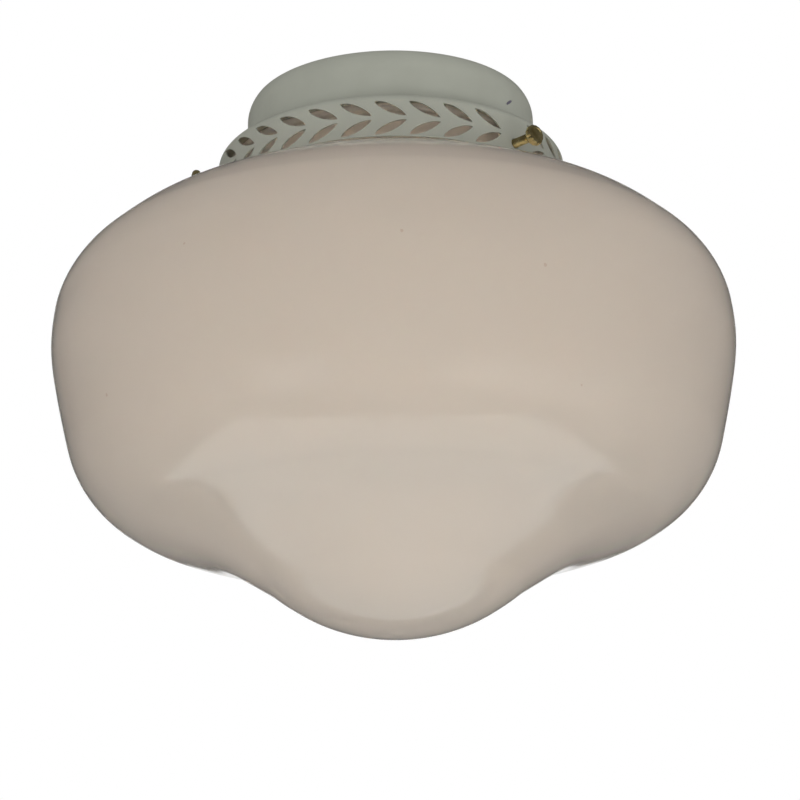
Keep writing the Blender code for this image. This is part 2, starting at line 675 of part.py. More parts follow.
def make_porcelain(name, axis, side, glaze):
    """A cup of porcelain, waisted a little, whose roof takes two blind screw holes."""
    edge = PORCELAIN_EDGE
    waist = PORCELAIN_RADIUS * PORCELAIN_WAIST_SHARE
    cavity = shell_outer_radius() + GAP
    rim = -PORCELAIN_LENGTH
    outline = [(0, 0), (PORCELAIN_RADIUS - edge, 0), (PORCELAIN_RADIUS, -edge)]
    outline += [(PORCELAIN_RADIUS, -PORCELAIN_ROOF), (waist, -PORCELAIN_ROOF - edge)]
    outline += [(waist, rim + PORCELAIN_ROOF)]
    outline += [(PORCELAIN_RADIUS, rim + PORCELAIN_ROOF - edge), (PORCELAIN_RADIUS, rim + edge)]
    outline += [(PORCELAIN_RADIUS - edge, rim), (cavity, rim)]
    outline += [(cavity, -PORCELAIN_ROOF), (0, -PORCELAIN_ROOF)]
    body = turned(name, outline, PORCELAIN_FACETS, glaze, axis)
    bm = bmesh.new()
    for spread in (-SOCKET_SCREW_INWARD, SOCKET_SCREW_OUTWARD):
        before = set(bm.verts)
        cylinder(bm, SOCKET_SCREW_RADIUS + GAP, -SOCKET_SCREW_DEPTH - 2 * GAP, OVERRUN, TINY_FACETS)
        moved = [corner for corner in bm.verts if corner not in before]
        bmesh.ops.translate(bm, verts=moved, vec=(side * spread, 0, 0))
    boolean(body, object_from(f"{name}_screw_holes", bm, parent=axis), "DIFFERENCE")


def shell_outer_radius():
    return THREAD_RADIUS + THREAD_DEPTH + 2 * GAP + SHELL_THICKNESS


def zigzag(radius, depth, start, pitch, turns):
    """The crests and roots of a rolled thread, from its start downward."""
    points = []
    for i in range(2 * turns + 1):
        points.append((radius - depth * (i % 2), start - pitch * i / 2))
    return points


def make_shell(name, axis, metal):
    """The socket's screw shell: rolled on its inner side, with an end plate round the contact."""
    outer = shell_outer_radius()
    roof = -PORCELAIN_ROOF - GAP
    mouth = roof - SHELL_LENGTH
    plate_hole = CONTACT_RADIUS + 2 * GAP
    crest = outer - SHELL_THICKNESS
    thread_start = mouth + SHELL_TURNS * THREAD_PITCH + CAP_COLLAR
    outline = [(plate_hole, roof), (outer, roof), (outer, mouth), (crest, mouth)]
    outline += zigzag(crest, THREAD_DEPTH, thread_start, THREAD_PITCH, SHELL_TURNS)[::-1]
    outline += [(crest, roof - SHELL_THICKNESS), (plate_hole, roof - SHELL_THICKNESS)]
    turned(name, outline, SMALL_FACETS, metal, axis)


def make_centre_contact(name, axis, brass):
    """A sprung disc in the bottom of the socket, domed towards the lamp."""
    base = -PORCELAIN_ROOF - GAP
    foot = base - CONTACT_THICKNESS
    crown = contact_crown()
    outline = [(0, base), (CONTACT_RADIUS, base), (CONTACT_RADIUS, foot)]
    outline += [(CONTACT_RADIUS * CONTACT_DOME_SHARE, foot)]
    outline += [(CONTACT_RADIUS * CONTACT_CROWN_SHARE, crown + GAP), (0, crown)]
    turned(name, outline, TINY_FACETS, brass, axis)


def contact_crown():
    return -PORCELAIN_ROOF - GAP - CONTACT_THICKNESS - CONTACT_RISE


def make_socket_screw(name, axis, spread, steel):
    """A pan-head screw through the bracket into the porcelain."""
    seat = 2 * GAP + STRAP_THICKNESS
    crown = seat + SOCKET_SCREW_HEAD
    outline = [(0, -SOCKET_SCREW_DEPTH), (SOCKET_SCREW_RADIUS, -SOCKET_SCREW_DEPTH)]
    outline += [(SOCKET_SCREW_RADIUS, seat), (SOCKET_SCREW_HEAD_RADIUS, seat)]
    outline += [(SOCKET_SCREW_HEAD_RADIUS, (seat + crown) / 2)]
    outline += [(SOCKET_SCREW_HEAD_RADIUS / 2, crown), (0, crown)]
    screw = turned(name, outline, TINY_FACETS, steel, axis)
    screw.location.x = spread


# Lamps


def make_lamp(side_name, axis, finishes):
    """A lamp screwed home: contact, insulator, cap and envelope, turned about the socket's axis."""
    tip = contact_crown() - GAP
    contact_face = tip - TIP_CONTACT_RISE
    outline = [(0, tip), (TIP_CONTACT_RADIUS / 2, tip - GAP)]
    outline += [(TIP_CONTACT_RADIUS, contact_face), (0, contact_face)]
    turned(f"lamp_contact_{side_name}", outline, TINY_FACETS, finishes["solder"], axis)

    insulator_top = contact_face - GAP
    insulator_foot = insulator_top - INSULATOR_DEPTH
    outline = [(0, insulator_top), (TIP_CONTACT_RADIUS + GAP, insulator_top)]
    outline += [(CAP_END_RADIUS, insulator_foot), (0, insulator_foot)]
    turned(f"lamp_insulator_{side_name}", outline, SMALL_FACETS, finishes["black_glass"], axis)

    cap_top = insulator_foot - GAP
    thread_start = cap_top - (THREAD_RADIUS - CAP_END_RADIUS) / 2
    root = THREAD_RADIUS - THREAD_DEPTH
    skirt_top = thread_start - THREAD_TURNS * THREAD_PITCH
    skirt_foot = skirt_top - CAP_SKIRT
    inner = root - CAP_SHEET
    outline = [(CAP_END_RADIUS - 2 * CAP_SHEET, cap_top), (CAP_END_RADIUS, cap_top)]
    outline += zigzag(THREAD_RADIUS, THREAD_DEPTH, thread_start, THREAD_PITCH, THREAD_TURNS)
    outline += [(THREAD_RADIUS, skirt_foot), (inner + CAP_SHEET / 2, skirt_foot)]
    outline += [(inner + CAP_SHEET / 2, skirt_top), (inner, thread_start)]
    turned(f"lamp_cap_{side_name}", outline, SMALL_FACETS, finishes["cap"], axis)

    envelope = lamp_envelope(tip, skirt_foot)
    turned(f"lamp_envelope_{side_name}", envelope, SMALL_FACETS, finishes["frosted"], axis)


def lamp_envelope(tip, skirt_foot):
    """A frosted bulb, open at its neck, which stands inside the cap."""
    end = tip - LAMP_LENGTH
    neck_top = skirt_foot + LAMP_IN_CAP
    neck = LAMP_NECK_RADIUS
    centre = end + LAMP_RADIUS
    flare_start = skirt_foot - CAP_COLLAR
    outside = [(0, end)] + arc((0, centre), LAMP_RADIUS, -pi / 2, LAMP_BALL_END, COARSE_STEP)[1:]
    last_r, last_z = outside[-1]
    for share in LAMP_FLARE_SHARES:
        ease = share * share * (3 - 2 * share)
        outside.append((last_r + (neck - last_r) * ease, last_z + (flare_start - last_z) * share))
    outside += [(neck, flare_start), (neck, neck_top)]
    inside = [(neck - LAMP_GLASS, neck_top), (neck - LAMP_GLASS, flare_start)]
    inside += arc((0, centre), LAMP_RADIUS - LAMP_GLASS, LAMP_BALL_END, -pi / 2, COARSE_STEP)
    inside[-1] = (0, end + LAMP_GLASS)
    return outside + inside


# Wiring


def make_bushing(nylon):
    """A snap bushing through the collar's floor, the pan and the pad, with a barb under the pan."""
    seat = COLLAR_FLOOR + GAP
    top = seat + BUSHING_FLANGE_HEIGHT
    barb = PAN_UNDERSIDE - GAP
    end = PAD_TOP - PAD_THICKNESS
    flange = BUSHING_RADIUS + BUSHING_FLANGE
    outline = [(BUSHING_BORE, top), (BUSHING_BORE, end), (BUSHING_RADIUS, end)]
    outline += [(BUSHING_RADIUS + BUSHING_BARB, barb), (BUSHING_RADIUS, barb), (BUSHING_RADIUS, seat)]
    outline += [(flange, seat), (flange, (seat + top) / 2), (flange - BUSHING_FLANGE / 2, top)]
    bushing = turned("lead_bushing", outline, SMALL_FACETS, nylon)
    bushing.location.y = BUSHING_BACK


def smooth_route(marks):
    """Points a lead step apart on one smooth curve through the marks."""
    padded = [2 * marks[0] - marks[1]] + marks + [2 * marks[-1] - marks[-2]]
    route = [marks[0]]
    for p0, p1, p2, p3 in zip(padded, padded[1:], padded[2:], padded[3:]):
        count = max(1, ceil((p2 - p1).length / LEAD_STEP))
        for i in range(1, count + 1):
            t = i / count
            bend = (2 * p0 - 5 * p1 + 4 * p2 - p3) * t * t + (3 * p1 - p0 - 3 * p2 + p3) * t * t * t
            route.append((2 * p1 + (p2 - p0) * t + bend) / 2)
    return route


def make_lead(name, marks, insulation):
    route = smooth_route(marks)
    data = bpy.data.curves.new(name, "CURVE")
    data.dimensions = "3D"
    data.bevel_depth = LEAD_RADIUS
    data.bevel_resolution = 1
    data.use_fill_caps = True
    spline = data.splines.new("POLY")
    spline.points.add(len(route) - 1)
    for point, place in zip(spline.points, route):
        point.co = (*place, 1)
    data.materials.append(insulation)
    lead = bpy.data.objects.new(name, data)
    bpy.context.collection.objects.link(lead)


def lead_marks(side, white):
    """A lead's route: up from its socket, back to the bushing, through it and over to a connector."""
    location, rotation = socket_frame(side)
    tilt = Euler(rotation).to_matrix()
    across = LEAD_EXIT_SPREAD if white else -LEAD_EXIT_SPREAD
    exit_point = Vector(location) + tilt @ Vector((side * across, LEAD_EXIT_BACK, GAP))
    rising = exit_point + tilt @ Vector((0, 0, 2 * LEAD_RADIUS))
    half = LEAD_SPACING / 2
    back = BUSHING_BACK + (half if white else -half)
    bushing_end = PAD_TOP - PAD_THICKNESS
    entry = Vector((side * half, back, bushing_end))
    below = Vector((side * half, back, bushing_end - LEAD_RADIUS))
    between = (rising + below) / 2
    between.z = below.z - LEAD_BEND / 2
    bushing_top = COLLAR_FLOOR + GAP + BUSHING_FLANGE_HEIGHT
    leaving = Vector((side * half, back, bushing_top + GAP))
    towards = 1 if white else -1
    bend = LEAD_BEND if side == towards else LEAD_BEND + LEAD_SPACING
    turn_centre = Vector((side * half + towards * bend, back, leaving.z))
    over = []
    for angle in (pi / 4, pi / 2):
        over.append(turn_centre + Vector((-towards * bend * cos(angle), 0, bend * sin(angle))))
    stacked = -half if side == towards else half
    axis_level = connector_level()
    mouth = Vector((towards * CONNECTOR_OUT, back, axis_level + stacked))
    approach = mouth - Vector((towards * LEAD_BEND, 0, 0))
    end = mouth + Vector((towards * (CONNECTOR_BORE_DEPTH - 2 * GAP), 0, 0))
    return [exit_point, rising, between, below, entry, leaving, *over, approach, mouth, end]


def connector_level():
    return COLLAR_FLOOR + GAP + CONNECTOR_RADIUS


def make_connectors(shell_finish):
    """A twist-on connector for each colour of lead, lying on the collar's floor."""
    nose_radius = CONNECTOR_RADIUS * CONNECTOR_NOSE_RADIUS_SHARE
    end_radius = CONNECTOR_RADIUS * CONNECTOR_END_RADIUS_SHARE
    outline = [(0, CONNECTOR_LENGTH), (end_radius, CONNECTOR_LENGTH)]
    outline += [(nose_radius, CONNECTOR_LENGTH * CONNECTOR_NOSE_SHARE)]
    outline += [(CONNECTOR_RADIUS, CONNECTOR_LENGTH * CONNECTOR_BARREL_SHARE)]
    outline += [(CONNECTOR_RADIUS, 0), (CONNECTOR_BORE, 0)]
    outline += [(CONNECTOR_BORE, CONNECTOR_BORE_DEPTH), (0, CONNECTOR_BORE_DEPTH)]
    flutes = fluted(CONNECTOR_FLUTES, CONNECTOR_FLUTE_SHARE, CONNECTOR_BORE + WELD)
    for colour, towards in (("black", -1), ("white", 1)):
        back = BUSHING_BACK + towards * LEAD_SPACING / 2
        name = f"wire_connector_{colour}"
        connector = turned(name, outline, 2 * CONNECTOR_FLUTES, shell_finish, warp=flutes)
        connector.location = (towards * CONNECTOR_OUT, back, connector_level())
        connector.rotation_euler = (0, towards * pi / 2, 0)


def main():
    clear_scene()
    paint = material("off_white_paint", (0.42, 0.43, 0.37), 0.42)
    brass = material("polished_brass", (0.72, 0.52, 0.18), 0.22, 1.0)
    opal = material("opal_glass", (0.60, 0.53, 0.45), 0.10)
    zinc = material("zinc_plate", (0.62, 0.62, 0.60), 0.38, 1.0)
    steel = material("spring_steel", (0.40, 0.40, 0.40), 0.40, 1.0)
    fibre = material("fibre_pad", (0.78, 0.74, 0.60), 0.90)
    glaze = material("porcelain", (0.88, 0.87, 0.83), 0.18)
    shell_metal = material("aluminium_shell", (0.80, 0.80, 0.80), 0.30, 1.0)
    nylon = material("white_nylon", (0.85, 0.84, 0.80), 0.50)
    connector_finish = material("connector_plastic", (0.62, 0.27, 0.06), 0.50)
    leads = {
        "black": material("black_insulation", (0.03, 0.03, 0.03), 0.50),
        "white": material("white_insulation", (0.82, 0.81, 0.76), 0.50),
    }
    lamp_finishes = {
        "solder": material("solder", (0.60, 0.60, 0.58), 0.40, 1.0),
        "black_glass": material("black_glass", (0.02, 0.02, 0.03), 0.15),
        "cap": material("lamp_cap", (0.75, 0.75, 0.73), 0.30, 1.0),
        "frosted": material("frosted_glass", (0.92, 0.91, 0.87), 0.40),
    }

    make_collar(paint)
    make_pan(paint)
    make_thumbscrews(brass)
    make_globe(opal)
    make_hanger(zinc, steel)
    make_pad(fibre)
    make_bracket(zinc)
    for side_name, side in (("left", -1), ("right", 1)):
        location, rotation = socket_frame(side)
        axis = empty(f"socket_axis_{side_name}", location, rotation)
        make_porcelain(f"socket_body_{side_name}", axis, side, glaze)
        make_shell(f"screw_shell_{side_name}", axis, shell_metal)
        make_centre_contact(f"centre_contact_{side_name}", axis, brass)
        make_socket_screw(f"socket_screw_{side_name}_inner", axis, -side * SOCKET_SCREW_INWARD, zinc)
        make_socket_screw(f"socket_screw_{side_name}_outer", axis, side * SOCKET_SCREW_OUTWARD, zinc)
        make_lamp(side_name, axis, lamp_finishes)
        make_lead(f"lead_black_{side_name}", lead_marks(side, False), leads["black"])
        make_lead(f"lead_white_{side_name}", lead_marks(side, True), leads["white"])
    make_bushing(nylon)
    make_connectors(connector_finish)


main()
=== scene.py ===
import json
from math import acos, atan2, cos, pi, radians, sin, tan

import bmesh
import bpy
from mathutils import Matrix, Vector

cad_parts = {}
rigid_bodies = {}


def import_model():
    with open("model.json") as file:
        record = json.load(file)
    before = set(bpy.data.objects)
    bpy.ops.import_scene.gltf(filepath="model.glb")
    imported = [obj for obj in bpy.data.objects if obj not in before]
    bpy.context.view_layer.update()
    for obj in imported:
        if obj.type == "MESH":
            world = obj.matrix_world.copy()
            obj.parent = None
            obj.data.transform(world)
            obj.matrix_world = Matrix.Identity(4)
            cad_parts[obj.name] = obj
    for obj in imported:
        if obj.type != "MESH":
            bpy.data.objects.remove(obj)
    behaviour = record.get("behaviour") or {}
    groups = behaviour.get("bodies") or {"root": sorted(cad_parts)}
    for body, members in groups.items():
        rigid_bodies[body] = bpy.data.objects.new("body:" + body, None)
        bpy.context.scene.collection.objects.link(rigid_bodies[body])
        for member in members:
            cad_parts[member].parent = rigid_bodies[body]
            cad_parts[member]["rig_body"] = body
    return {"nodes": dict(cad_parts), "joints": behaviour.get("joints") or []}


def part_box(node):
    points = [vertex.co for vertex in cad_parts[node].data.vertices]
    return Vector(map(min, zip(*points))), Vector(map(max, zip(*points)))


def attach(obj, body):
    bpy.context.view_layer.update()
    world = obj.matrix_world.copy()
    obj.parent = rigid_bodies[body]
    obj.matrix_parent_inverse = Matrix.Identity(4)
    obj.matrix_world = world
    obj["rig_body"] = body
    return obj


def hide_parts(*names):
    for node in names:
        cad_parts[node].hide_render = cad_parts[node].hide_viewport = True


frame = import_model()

MM = 0.001

# The gap that a hole leaves round its piece, and how near two points count as one
CLEARANCE = 0.3 * MM
WELD = 0.001 * MM

# Sheet metal, in the collar and the pan
SHEET = 0.8 * MM
COLLAR_RIM_RADIUS = 63.1 * MM
COLLAR_CROWN = 12.8 * MM
COLLAR_LIP = 3.6 * MM
COLLAR_BEND = 2.2 * MM
COLLAR_INNER_CROWN_SHARE = 0.9
PAN_CORNER = 4.2 * MM
PAN_TOP_SLOPE = radians(12)
BOSS_RADIUS = 3.9 * MM
BOSS_DEPTH = 2.4 * MM

# Leaf slots
LEAF_LENGTH = 15.2 * MM
LEAF_WIDTH = 3.8 * MM
LEAF_TILT = radians(26)
LEAF_PLACES = 33
LEAF_PLACES_PER_SCREW = 11
LEAF_BLUNT_SHARE = 0.12
LEAF_FULLNESS_SHARE = 0.75
LEAF_POINTS = 28
UPPER_ROW_HEIGHT = 13.2 * MM
LOWER_ROW_HEIGHT = 4.5 * MM

# Threads
STUD_PITCH = 0.794 * MM
STUD_THREAD_DEPTH = 0.45 * MM
NIPPLE_PITCH = 0.94 * MM
NIPPLE_THREAD_DEPTH = 0.5 * MM
LAMP_PITCH = 3.63 * MM
LAMP_THREAD_DEPTH = 0.7 * MM
CAP_SHEET = 0.4 * MM

# Knobs and wire connectors
KNOB_FLUTES = 14
KNOB_FLUTE_SHARE = 0.07
KNOB_EDGE_SHARE = 0.3
KNOB_FACE_SHARES = ((0.66, 0.02), (0.6, 0.35), (0.36, 0.42), (0.3, 0.3), (0.18, 0.1), (0, 0.03))
CONNECTOR_FLUTES = 16
CONNECTOR_FLUTE_SHARE = 0.05
SCREW_SLOT_WIDTH = 0.9 * MM
SCREW_SLOT_DEPTH = 0.9 * MM

# Fineness of the turned surfaces
FACETS_PER_KNOB_FLUTE = 10
FACETS_PER_CONNECTOR_FLUTE = 8
GLOBE_FACETS = 224
SHEET_FACETS = 264
SMALL_FACETS = 96
TINY_FACETS = 48
ROWS_PER_PITCH = 8
STEPS_PER_SPAN = 5
KNOB_EDGE_STEPS = 16
WIDE_ARC_STEPS = 12
ARC_STEPS = 8
TIGHT_ARC_STEPS = 6
CORNER = radians(50)
SHARP_EDGE = radians(35)
SHARP_ROLLED_EDGE = radians(50)
SHARP_THREAD_EDGE = radians(60)
SCREW_HEAD_CORNER = radians(60)
FLAT_ENOUGH = radians(1)
FINE_BEVEL = 0.15 * MM
LEAD_SMOOTHING = 2

# The photograph's camera: its focal length in pixels, its sensor in millimetres, its angles in radians
IMAGE_SIZE = 800
SENSOR = 36.0
FOCAL_PIXELS = 2707.6
CAMERA_PLACE = Vector((0.0, -1149.7, -523.7)) * MM
CAMERA_YAW = 0.0021
CAMERA_PITCH = 0.3206
CAMERA_ROLL = 0.0159

# The studio. Lamps stand round the object's middle, at azimuths from the front towards the right.
MIDDLE = Vector((0.0, 0.0, -130.0)) * MM
FLOOR_LEVEL = -1900 * MM
FLOOR_RADIUS = 9000 * MM
FLOOR_PALE = (0.93, 0.93, 0.93)
FLOOR_SHADE = (0.90, 0.90, 0.90)
STAGE_ROUGHNESS = 0.9
STAGE_GLOSS = 0.1
AMBIENT = 0.60
AMBIENT_TINT = (1.0, 0.99, 0.985)
LIT_SHEET_X = (-1400 * MM, 1250 * MM)
LIT_SHEET_Y = (-430 * MM, 1900 * MM)
LIT_SHEET_HEIGHT = -1860 * MM
LIT_SHEET_LEVEL = 0.19
LIT_SHEET_TINT = (0.81, 0.98, 1.0)
ROOM_X = (-3200 * MM, 3200 * MM)
ROOM_Y = (-3600 * MM, 2600 * MM)
ROOM_Z = (-1840 * MM, 3300 * MM)
ROOM_WINDOW_X = (-550 * MM, 550 * MM)
ROOM_WINDOW_Z = (170 * MM, 1270 * MM)
ROOM_GREY = (0.17, 0.163, 0.155)
ROOM_GREY_DARK = (0.13, 0.123, 0.115)
LAMP_TINT = (1.0, 0.99, 0.98)
LAMP_DISTANCE = 2400 * MM
WINDOW_DISTANCE = 2500 * MM

# Each lamp's azimuth and elevation in degrees, distance, width, height, light level,
# and whether it shows in reflections
LAMPS = {
    "front": (0, -22, LAMP_DISTANCE, 1200 * MM, 1000 * MM, 0.2, False),
    "level_front": (-3, 0, LAMP_DISTANCE, 1200 * MM, 1000 * MM, 0.1, False),
    "right_key": (42, -35, LAMP_DISTANCE, 600 * MM, 600 * MM, 0.13, False),
    "side_right": (80, -18, LAMP_DISTANCE, 450 * MM, 450 * MM, 0.035, False),
    "side_left": (-75, -10, LAMP_DISTANCE, 1000 * MM, 1000 * MM, 0.05, False),
    "right_window": (48, -30, WINDOW_DISTANCE, 2600 * MM, 1300 * MM, 0.065, True),
    "left_window": (-36, -30, WINDOW_DISTANCE, 1000 * MM, 1500 * MM, 0.055, True),
}

# What the finishes share
BLACK = (0, 0, 0)
WHITE = (1, 1, 1)
GLASS_IOR = 1.5
NOISE_ROUGHNESS = 0.55

# Paint, with one long chip near the collar's right side
PAINT = (0.375, 0.39, 0.335)
PAINT_DULL = (0.35, 0.362, 0.31)
PAINT_SPECK_SHARE = 0.8
PAINT_SPECK = tuple(PAINT_SPECK_SHARE * part for part in PAINT)
PAINT_ROUGHNESS = (0.36, 0.5)
PAINT_PEEL = 0.02 * MM
CHIP_METAL = (0.12, 0.11, 0.15)
CHIP_START = Vector((51.8, -40.5, -16.7)) * MM
CHIP_END = Vector((54.9, -36.3, -12.9)) * MM
CHIP_WIDTH = 1.4 * MM
CHIP_DEPTH = 0.1 * MM

# Opal glass, with a few faint reddish marks
OPAL = (0.866, 0.811, 0.747)
OPAL_CLOUD = (0.855, 0.80, 0.735)
OPAL_ROUGHNESS = (0.9, 1.0)
OPAL_SKIN_ROUGHNESS = (0.07, 0.12)
OPAL_LET_THROUGH_SHARE = 0.8
OPAL_WAVE = 0.35 * MM
OPAL_MARK = (0.62, 0.47, 0.40)
OPAL_MARK_SHARE = 0.6
MARK_SIZE = 1.6 * MM
MARK_LEAN = Vector((0.6, 0.2, 1.0)).normalized()
MARK_PLACES = (
    Vector((-84, -127, -116)) * MM,
    Vector((4, -153, -122)) * MM,
    Vector((61, -139, -132)) * MM,
    Vector((-120, -82, -165)) * MM,
    Vector((75, -119, -176)) * MM,
)

# Each metal's bright and dull tints, and its least and greatest roughness
METALS = {
    "brass": ((0.92, 0.80, 0.42), (0.40, 0.32, 0.12), 0.06, 0.2),
    "steel": ((0.46, 0.46, 0.47), (0.33, 0.33, 0.34), 0.3, 0.45),
    "aluminium": ((0.80, 0.81, 0.82), (0.68, 0.69, 0.70), 0.22, 0.38),
    "solder": ((0.62, 0.62, 0.60), (0.45, 0.45, 0.44), 0.3, 0.5),
}
METAL_GRAIN = 0.01 * MM
SOLDER_GRAIN = 0.05 * MM
ZINC_LIGHT = (0.70, 0.70, 0.69)
ZINC_DARK = (0.52, 0.53, 0.54)
ZINC_BLUE = (0.66, 0.67, 0.72)
ZINC_YELLOW = (0.72, 0.69, 0.56)
ZINC_TINT_SHARES = (0.2, 0.7)
ZINC_ROUGHNESS = (0.28, 0.45)

# Each moulded or glazed piece's colour, shade and roughness
MOULDED = {
    "porcelain": ((0.86, 0.85, 0.81), (0.82, 0.80, 0.75), 0.25),
    "nylon": ((0.82, 0.81, 0.77), (0.77, 0.76, 0.71), 0.5),
    "connector": ((0.66, 0.24, 0.035), (0.58, 0.20, 0.03), 0.45),
    "black_glass": ((0.02, 0.02, 0.025), (0.012, 0.012, 0.015), 0.12),
    "black_lead": ((0.03, 0.03, 0.032), (0.022, 0.022, 0.024), 0.5),
    "white_lead": ((0.80, 0.79, 0.74), (0.74, 0.73, 0.68), 0.5),
}
MOULDED_DRIFT_SHARE = 0.15
MOULDED_GRAIN = 0.01 * MM
GLAZE_SHARE = 0.8
GLAZE_ROUGHNESS = 0.06
GLAZE_GRAIN = 0.02 * MM

# The fibre pad and the frosted lamps
FIBRE_LIGHT = (0.88, 0.85, 0.78)
FIBRE_DARK = (0.72, 0.66, 0.54)
FIBRE_BINDER = (0.45, 0.36, 0.2)
FIBRE_ROUGHNESS = (0.8, 0.98)
FIBRE_GLOSS = 0.2
FIBRE_SHEEN_SHARE = 0.3
FIBRE_PILE = 0.35 * MM
FROST_LIGHT = (0.86, 0.85, 0.82)
FROST_DARK = (0.80, 0.79, 0.75)
FROST_ROUGHNESS = (0.22, 0.34)
FROST_SCATTER_SHARE = 0.2
FROST_REACH = 3 * MM
FROST_SKIN_SHARE = 0.4
FROST_GRAIN = 0.005 * MM

# What the frame gives
nodes = frame["nodes"]
bodies_of_nodes = {name: node["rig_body"] for name, node in nodes.items()}
joints = {joint["name"]: joint for joint in frame["joints"]}
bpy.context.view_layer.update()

KIT_FRAME = Matrix.Identity(4)
collection = bpy.context.scene.collection


# Placing


def along(axis, sideways, origin):
    """The frame at an origin whose Z is an axis and whose Y is a direction across it."""
    z = Vector(axis).normalized()
    x = Vector(sideways).cross(z).normalized()
    y = z.cross(x)
    matrix = Matrix((x, y, z)).transposed().to_4x4()
    matrix.translation = origin
    return matrix


def upright(origin):
    """The frame at an origin that isn't turned."""
    return Matrix.Translation(origin)


def screw_frame(letter):
    """A thumbscrew's own frame, with Z along its axis and out of the pan."""
    joint = joints[f"thumbscrew_{letter}_turn"]
    return along(joint["axis"], (0, 0, 1), Vector(joint["pos_m"]))


def socket_frame(side):
    """A socket's own frame, which its lamp shares, with Z from the lamp into the socket."""
    joint = joints[f"lamp_{side}_turn"]
    return along(-Vector(joint["axis"]), (0, 1, 0), Vector(joint["pos_m"]))


def axis_frame(node, place):
    """A frame moved sideways onto the axis of a turned solid."""
    to_local = place.inverted()
    corners = {(to_local @ corner.co).to_tuple(5) for corner in nodes[node].data.vertices}
    x, y, _ = (sum(values) / len(corners) for values in zip(*corners))
    return place @ Matrix.Translation((x, y, 0))


def settle(piece, place, node, finish):
    """Puts a piece where its solid is, in place of it, on the solid's body, with its finish."""
    piece.matrix_world = place
    piece.data.materials.clear()
    piece.data.materials.append(finish)
    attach(piece, bodies_of_nodes[node])
    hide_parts(node)


# Meshes


def new_piece(name, bm, sharp=SHARP_EDGE):
    """A smooth object made from a bmesh, with hard edges where its faces turn sharply."""
    bmesh.ops.recalc_face_normals(bm, faces=bm.faces)
    mesh = bpy.data.meshes.new(name)
    bm.to_mesh(mesh)
    bm.free()
    mesh.shade_smooth()
    mesh.set_sharp_from_angle(angle=sharp)
    piece = bpy.data.objects.new(name, mesh)
    collection.objects.link(piece)
    return piece


def is_ring(outline):
    """Whether an outline's ends are both off the axis, so that it closes on itself."""
    return min(outline[0][0], outline[-1][0]) > WELD


def add_turned(bm, outline, facets, shape):
    """Turns (radius, height) points about Z. The shape, if any, gives a radius at each angle."""
    rows = []
    for radius, height in outline:
        if radius < WELD:
            rows.append([bm.verts.new((0, 0, height))])
            continue
        row = []
        for i in range(facets):
            angle = 2 * pi * i / facets
            reach = shape(radius, height, angle) if shape else radius
            row.append(bm.verts.new((reach * cos(angle), reach * sin(angle), height)))
        rows.append(row)
    pairs = list(zip(rows, rows[1:]))
    if is_ring(outline):
        pairs.append((rows[-1], rows[0]))
    for first, second in pairs:
        for i in range(facets):
            j = (i + 1) % facets
            corners = [first[i % len(first)], first[j % len(first)]]
            corners += [second[j % len(second)], second[i % len(second)]]
            unique = list(dict.fromkeys(corners))
            if len(unique) > 2:
                bm.faces.new(unique)


def turned(name, outline, facets, shape=None, sharp=SHARP_EDGE):
    """An object that is turned about its Z from an outline."""
    bm = bmesh.new()
    add_turned(bm, outline, facets, shape)
    return new_piece(name, bm, sharp)


def arc(centre, radius, start, end, steps):
    """Points along an arc, both ends among them."""
    angles = [start + (end - start) * i / steps for i in range(steps + 1)]
    return [(centre[0] + radius * cos(a), centre[1] + radius * sin(a)) for a in angles]


def outline_of(node, place, azimuth=0.0):
    """A turned solid's outline, as (radius, height) points read along one of its meridians."""
    to_local = (place @ Matrix.Rotation(azimuth, 4, "Z")).inverted()
    mesh = nodes[node].data
    spots = {}
    links = {}
    keys = []
    for corner in mesh.vertices:
        local = to_local @ corner.co
        key = (round(local.x / WELD), round(local.z / WELD))
        on_line = abs(local.y) < 10 * WELD and local.x > -10 * WELD
        keys.append(key if on_line else None)
        if on_line:
            spots[key] = (max(local.x, 0.0), local.z)
            links.setdefault(key, set())
    for edge in mesh.edges:
        a, b = (keys[index] for index in edge.vertices)
        if a and b and a != b:
            links[a].add(b)
            links[b].add(a)
    ends = [key for key, near in links.items() if len(near) == 1]
    here = min(ends or links, key=lambda key: spots[key][1])
    line = [here]
    onward = list(links[here])
    while onward:
        here = onward[0]
        line.append(here)
        onward = [key for key in links[here] if key not in line]
    outline = [spots[key] for key in line]
    if ends:
        outline = [(0.0, outline[0][1])] * (outline[0][0] > WELD) + outline
        outline += [(0.0, outline[-1][1])] * (outline[-1][0] > WELD)
    return outline


def softened(outline, corner=CORNER, closed=False):
    """Bends an outline's spans into smooth curves, and keeps each corner that turns sharply."""
    points = [Vector(point) for point in outline]
    count = len(points)

    def tangent(i):
        """The curve's direction at a point, or none at a corner or an open end."""
        if not closed and i in (0, count - 1):
            return None
        before = points[i] - points[i - 1]
        after = points[(i + 1) % count] - points[i]
        turn = before.angle_signed(after)
        if abs(turn) > corner:
            return None
        share = after.length / (before.length + after.length)
        return (Matrix.Rotation(-turn * share, 2) @ before).normalized()

    tangents = [tangent(i) for i in range(count)]
    line = []
    for i in range(count if closed else count - 1):
        j = (i + 1) % count
        start, end = points[i], points[j]
        chord = end - start
        line.append(tuple(start))
        if not tangents[i] and not tangents[j]:
            continue
        leave = (tangents[i] or chord.normalized()) * chord.length
        arrive = (tangents[j] or chord.normalized()) * chord.length
        for step in range(1, STEPS_PER_SPAN):
            t = step / STEPS_PER_SPAN
            spot = start * (2 * t**3 - 3 * t * t + 1) + end * (3 * t * t - 2 * t**3)
            spot += leave * (t**3 - 2 * t * t + t) + arrive * (t**3 - t * t)
            line.append((max(spot.x, 0.0), spot.y))
    if not closed:
        line.append(tuple(points[-1]))
    return line


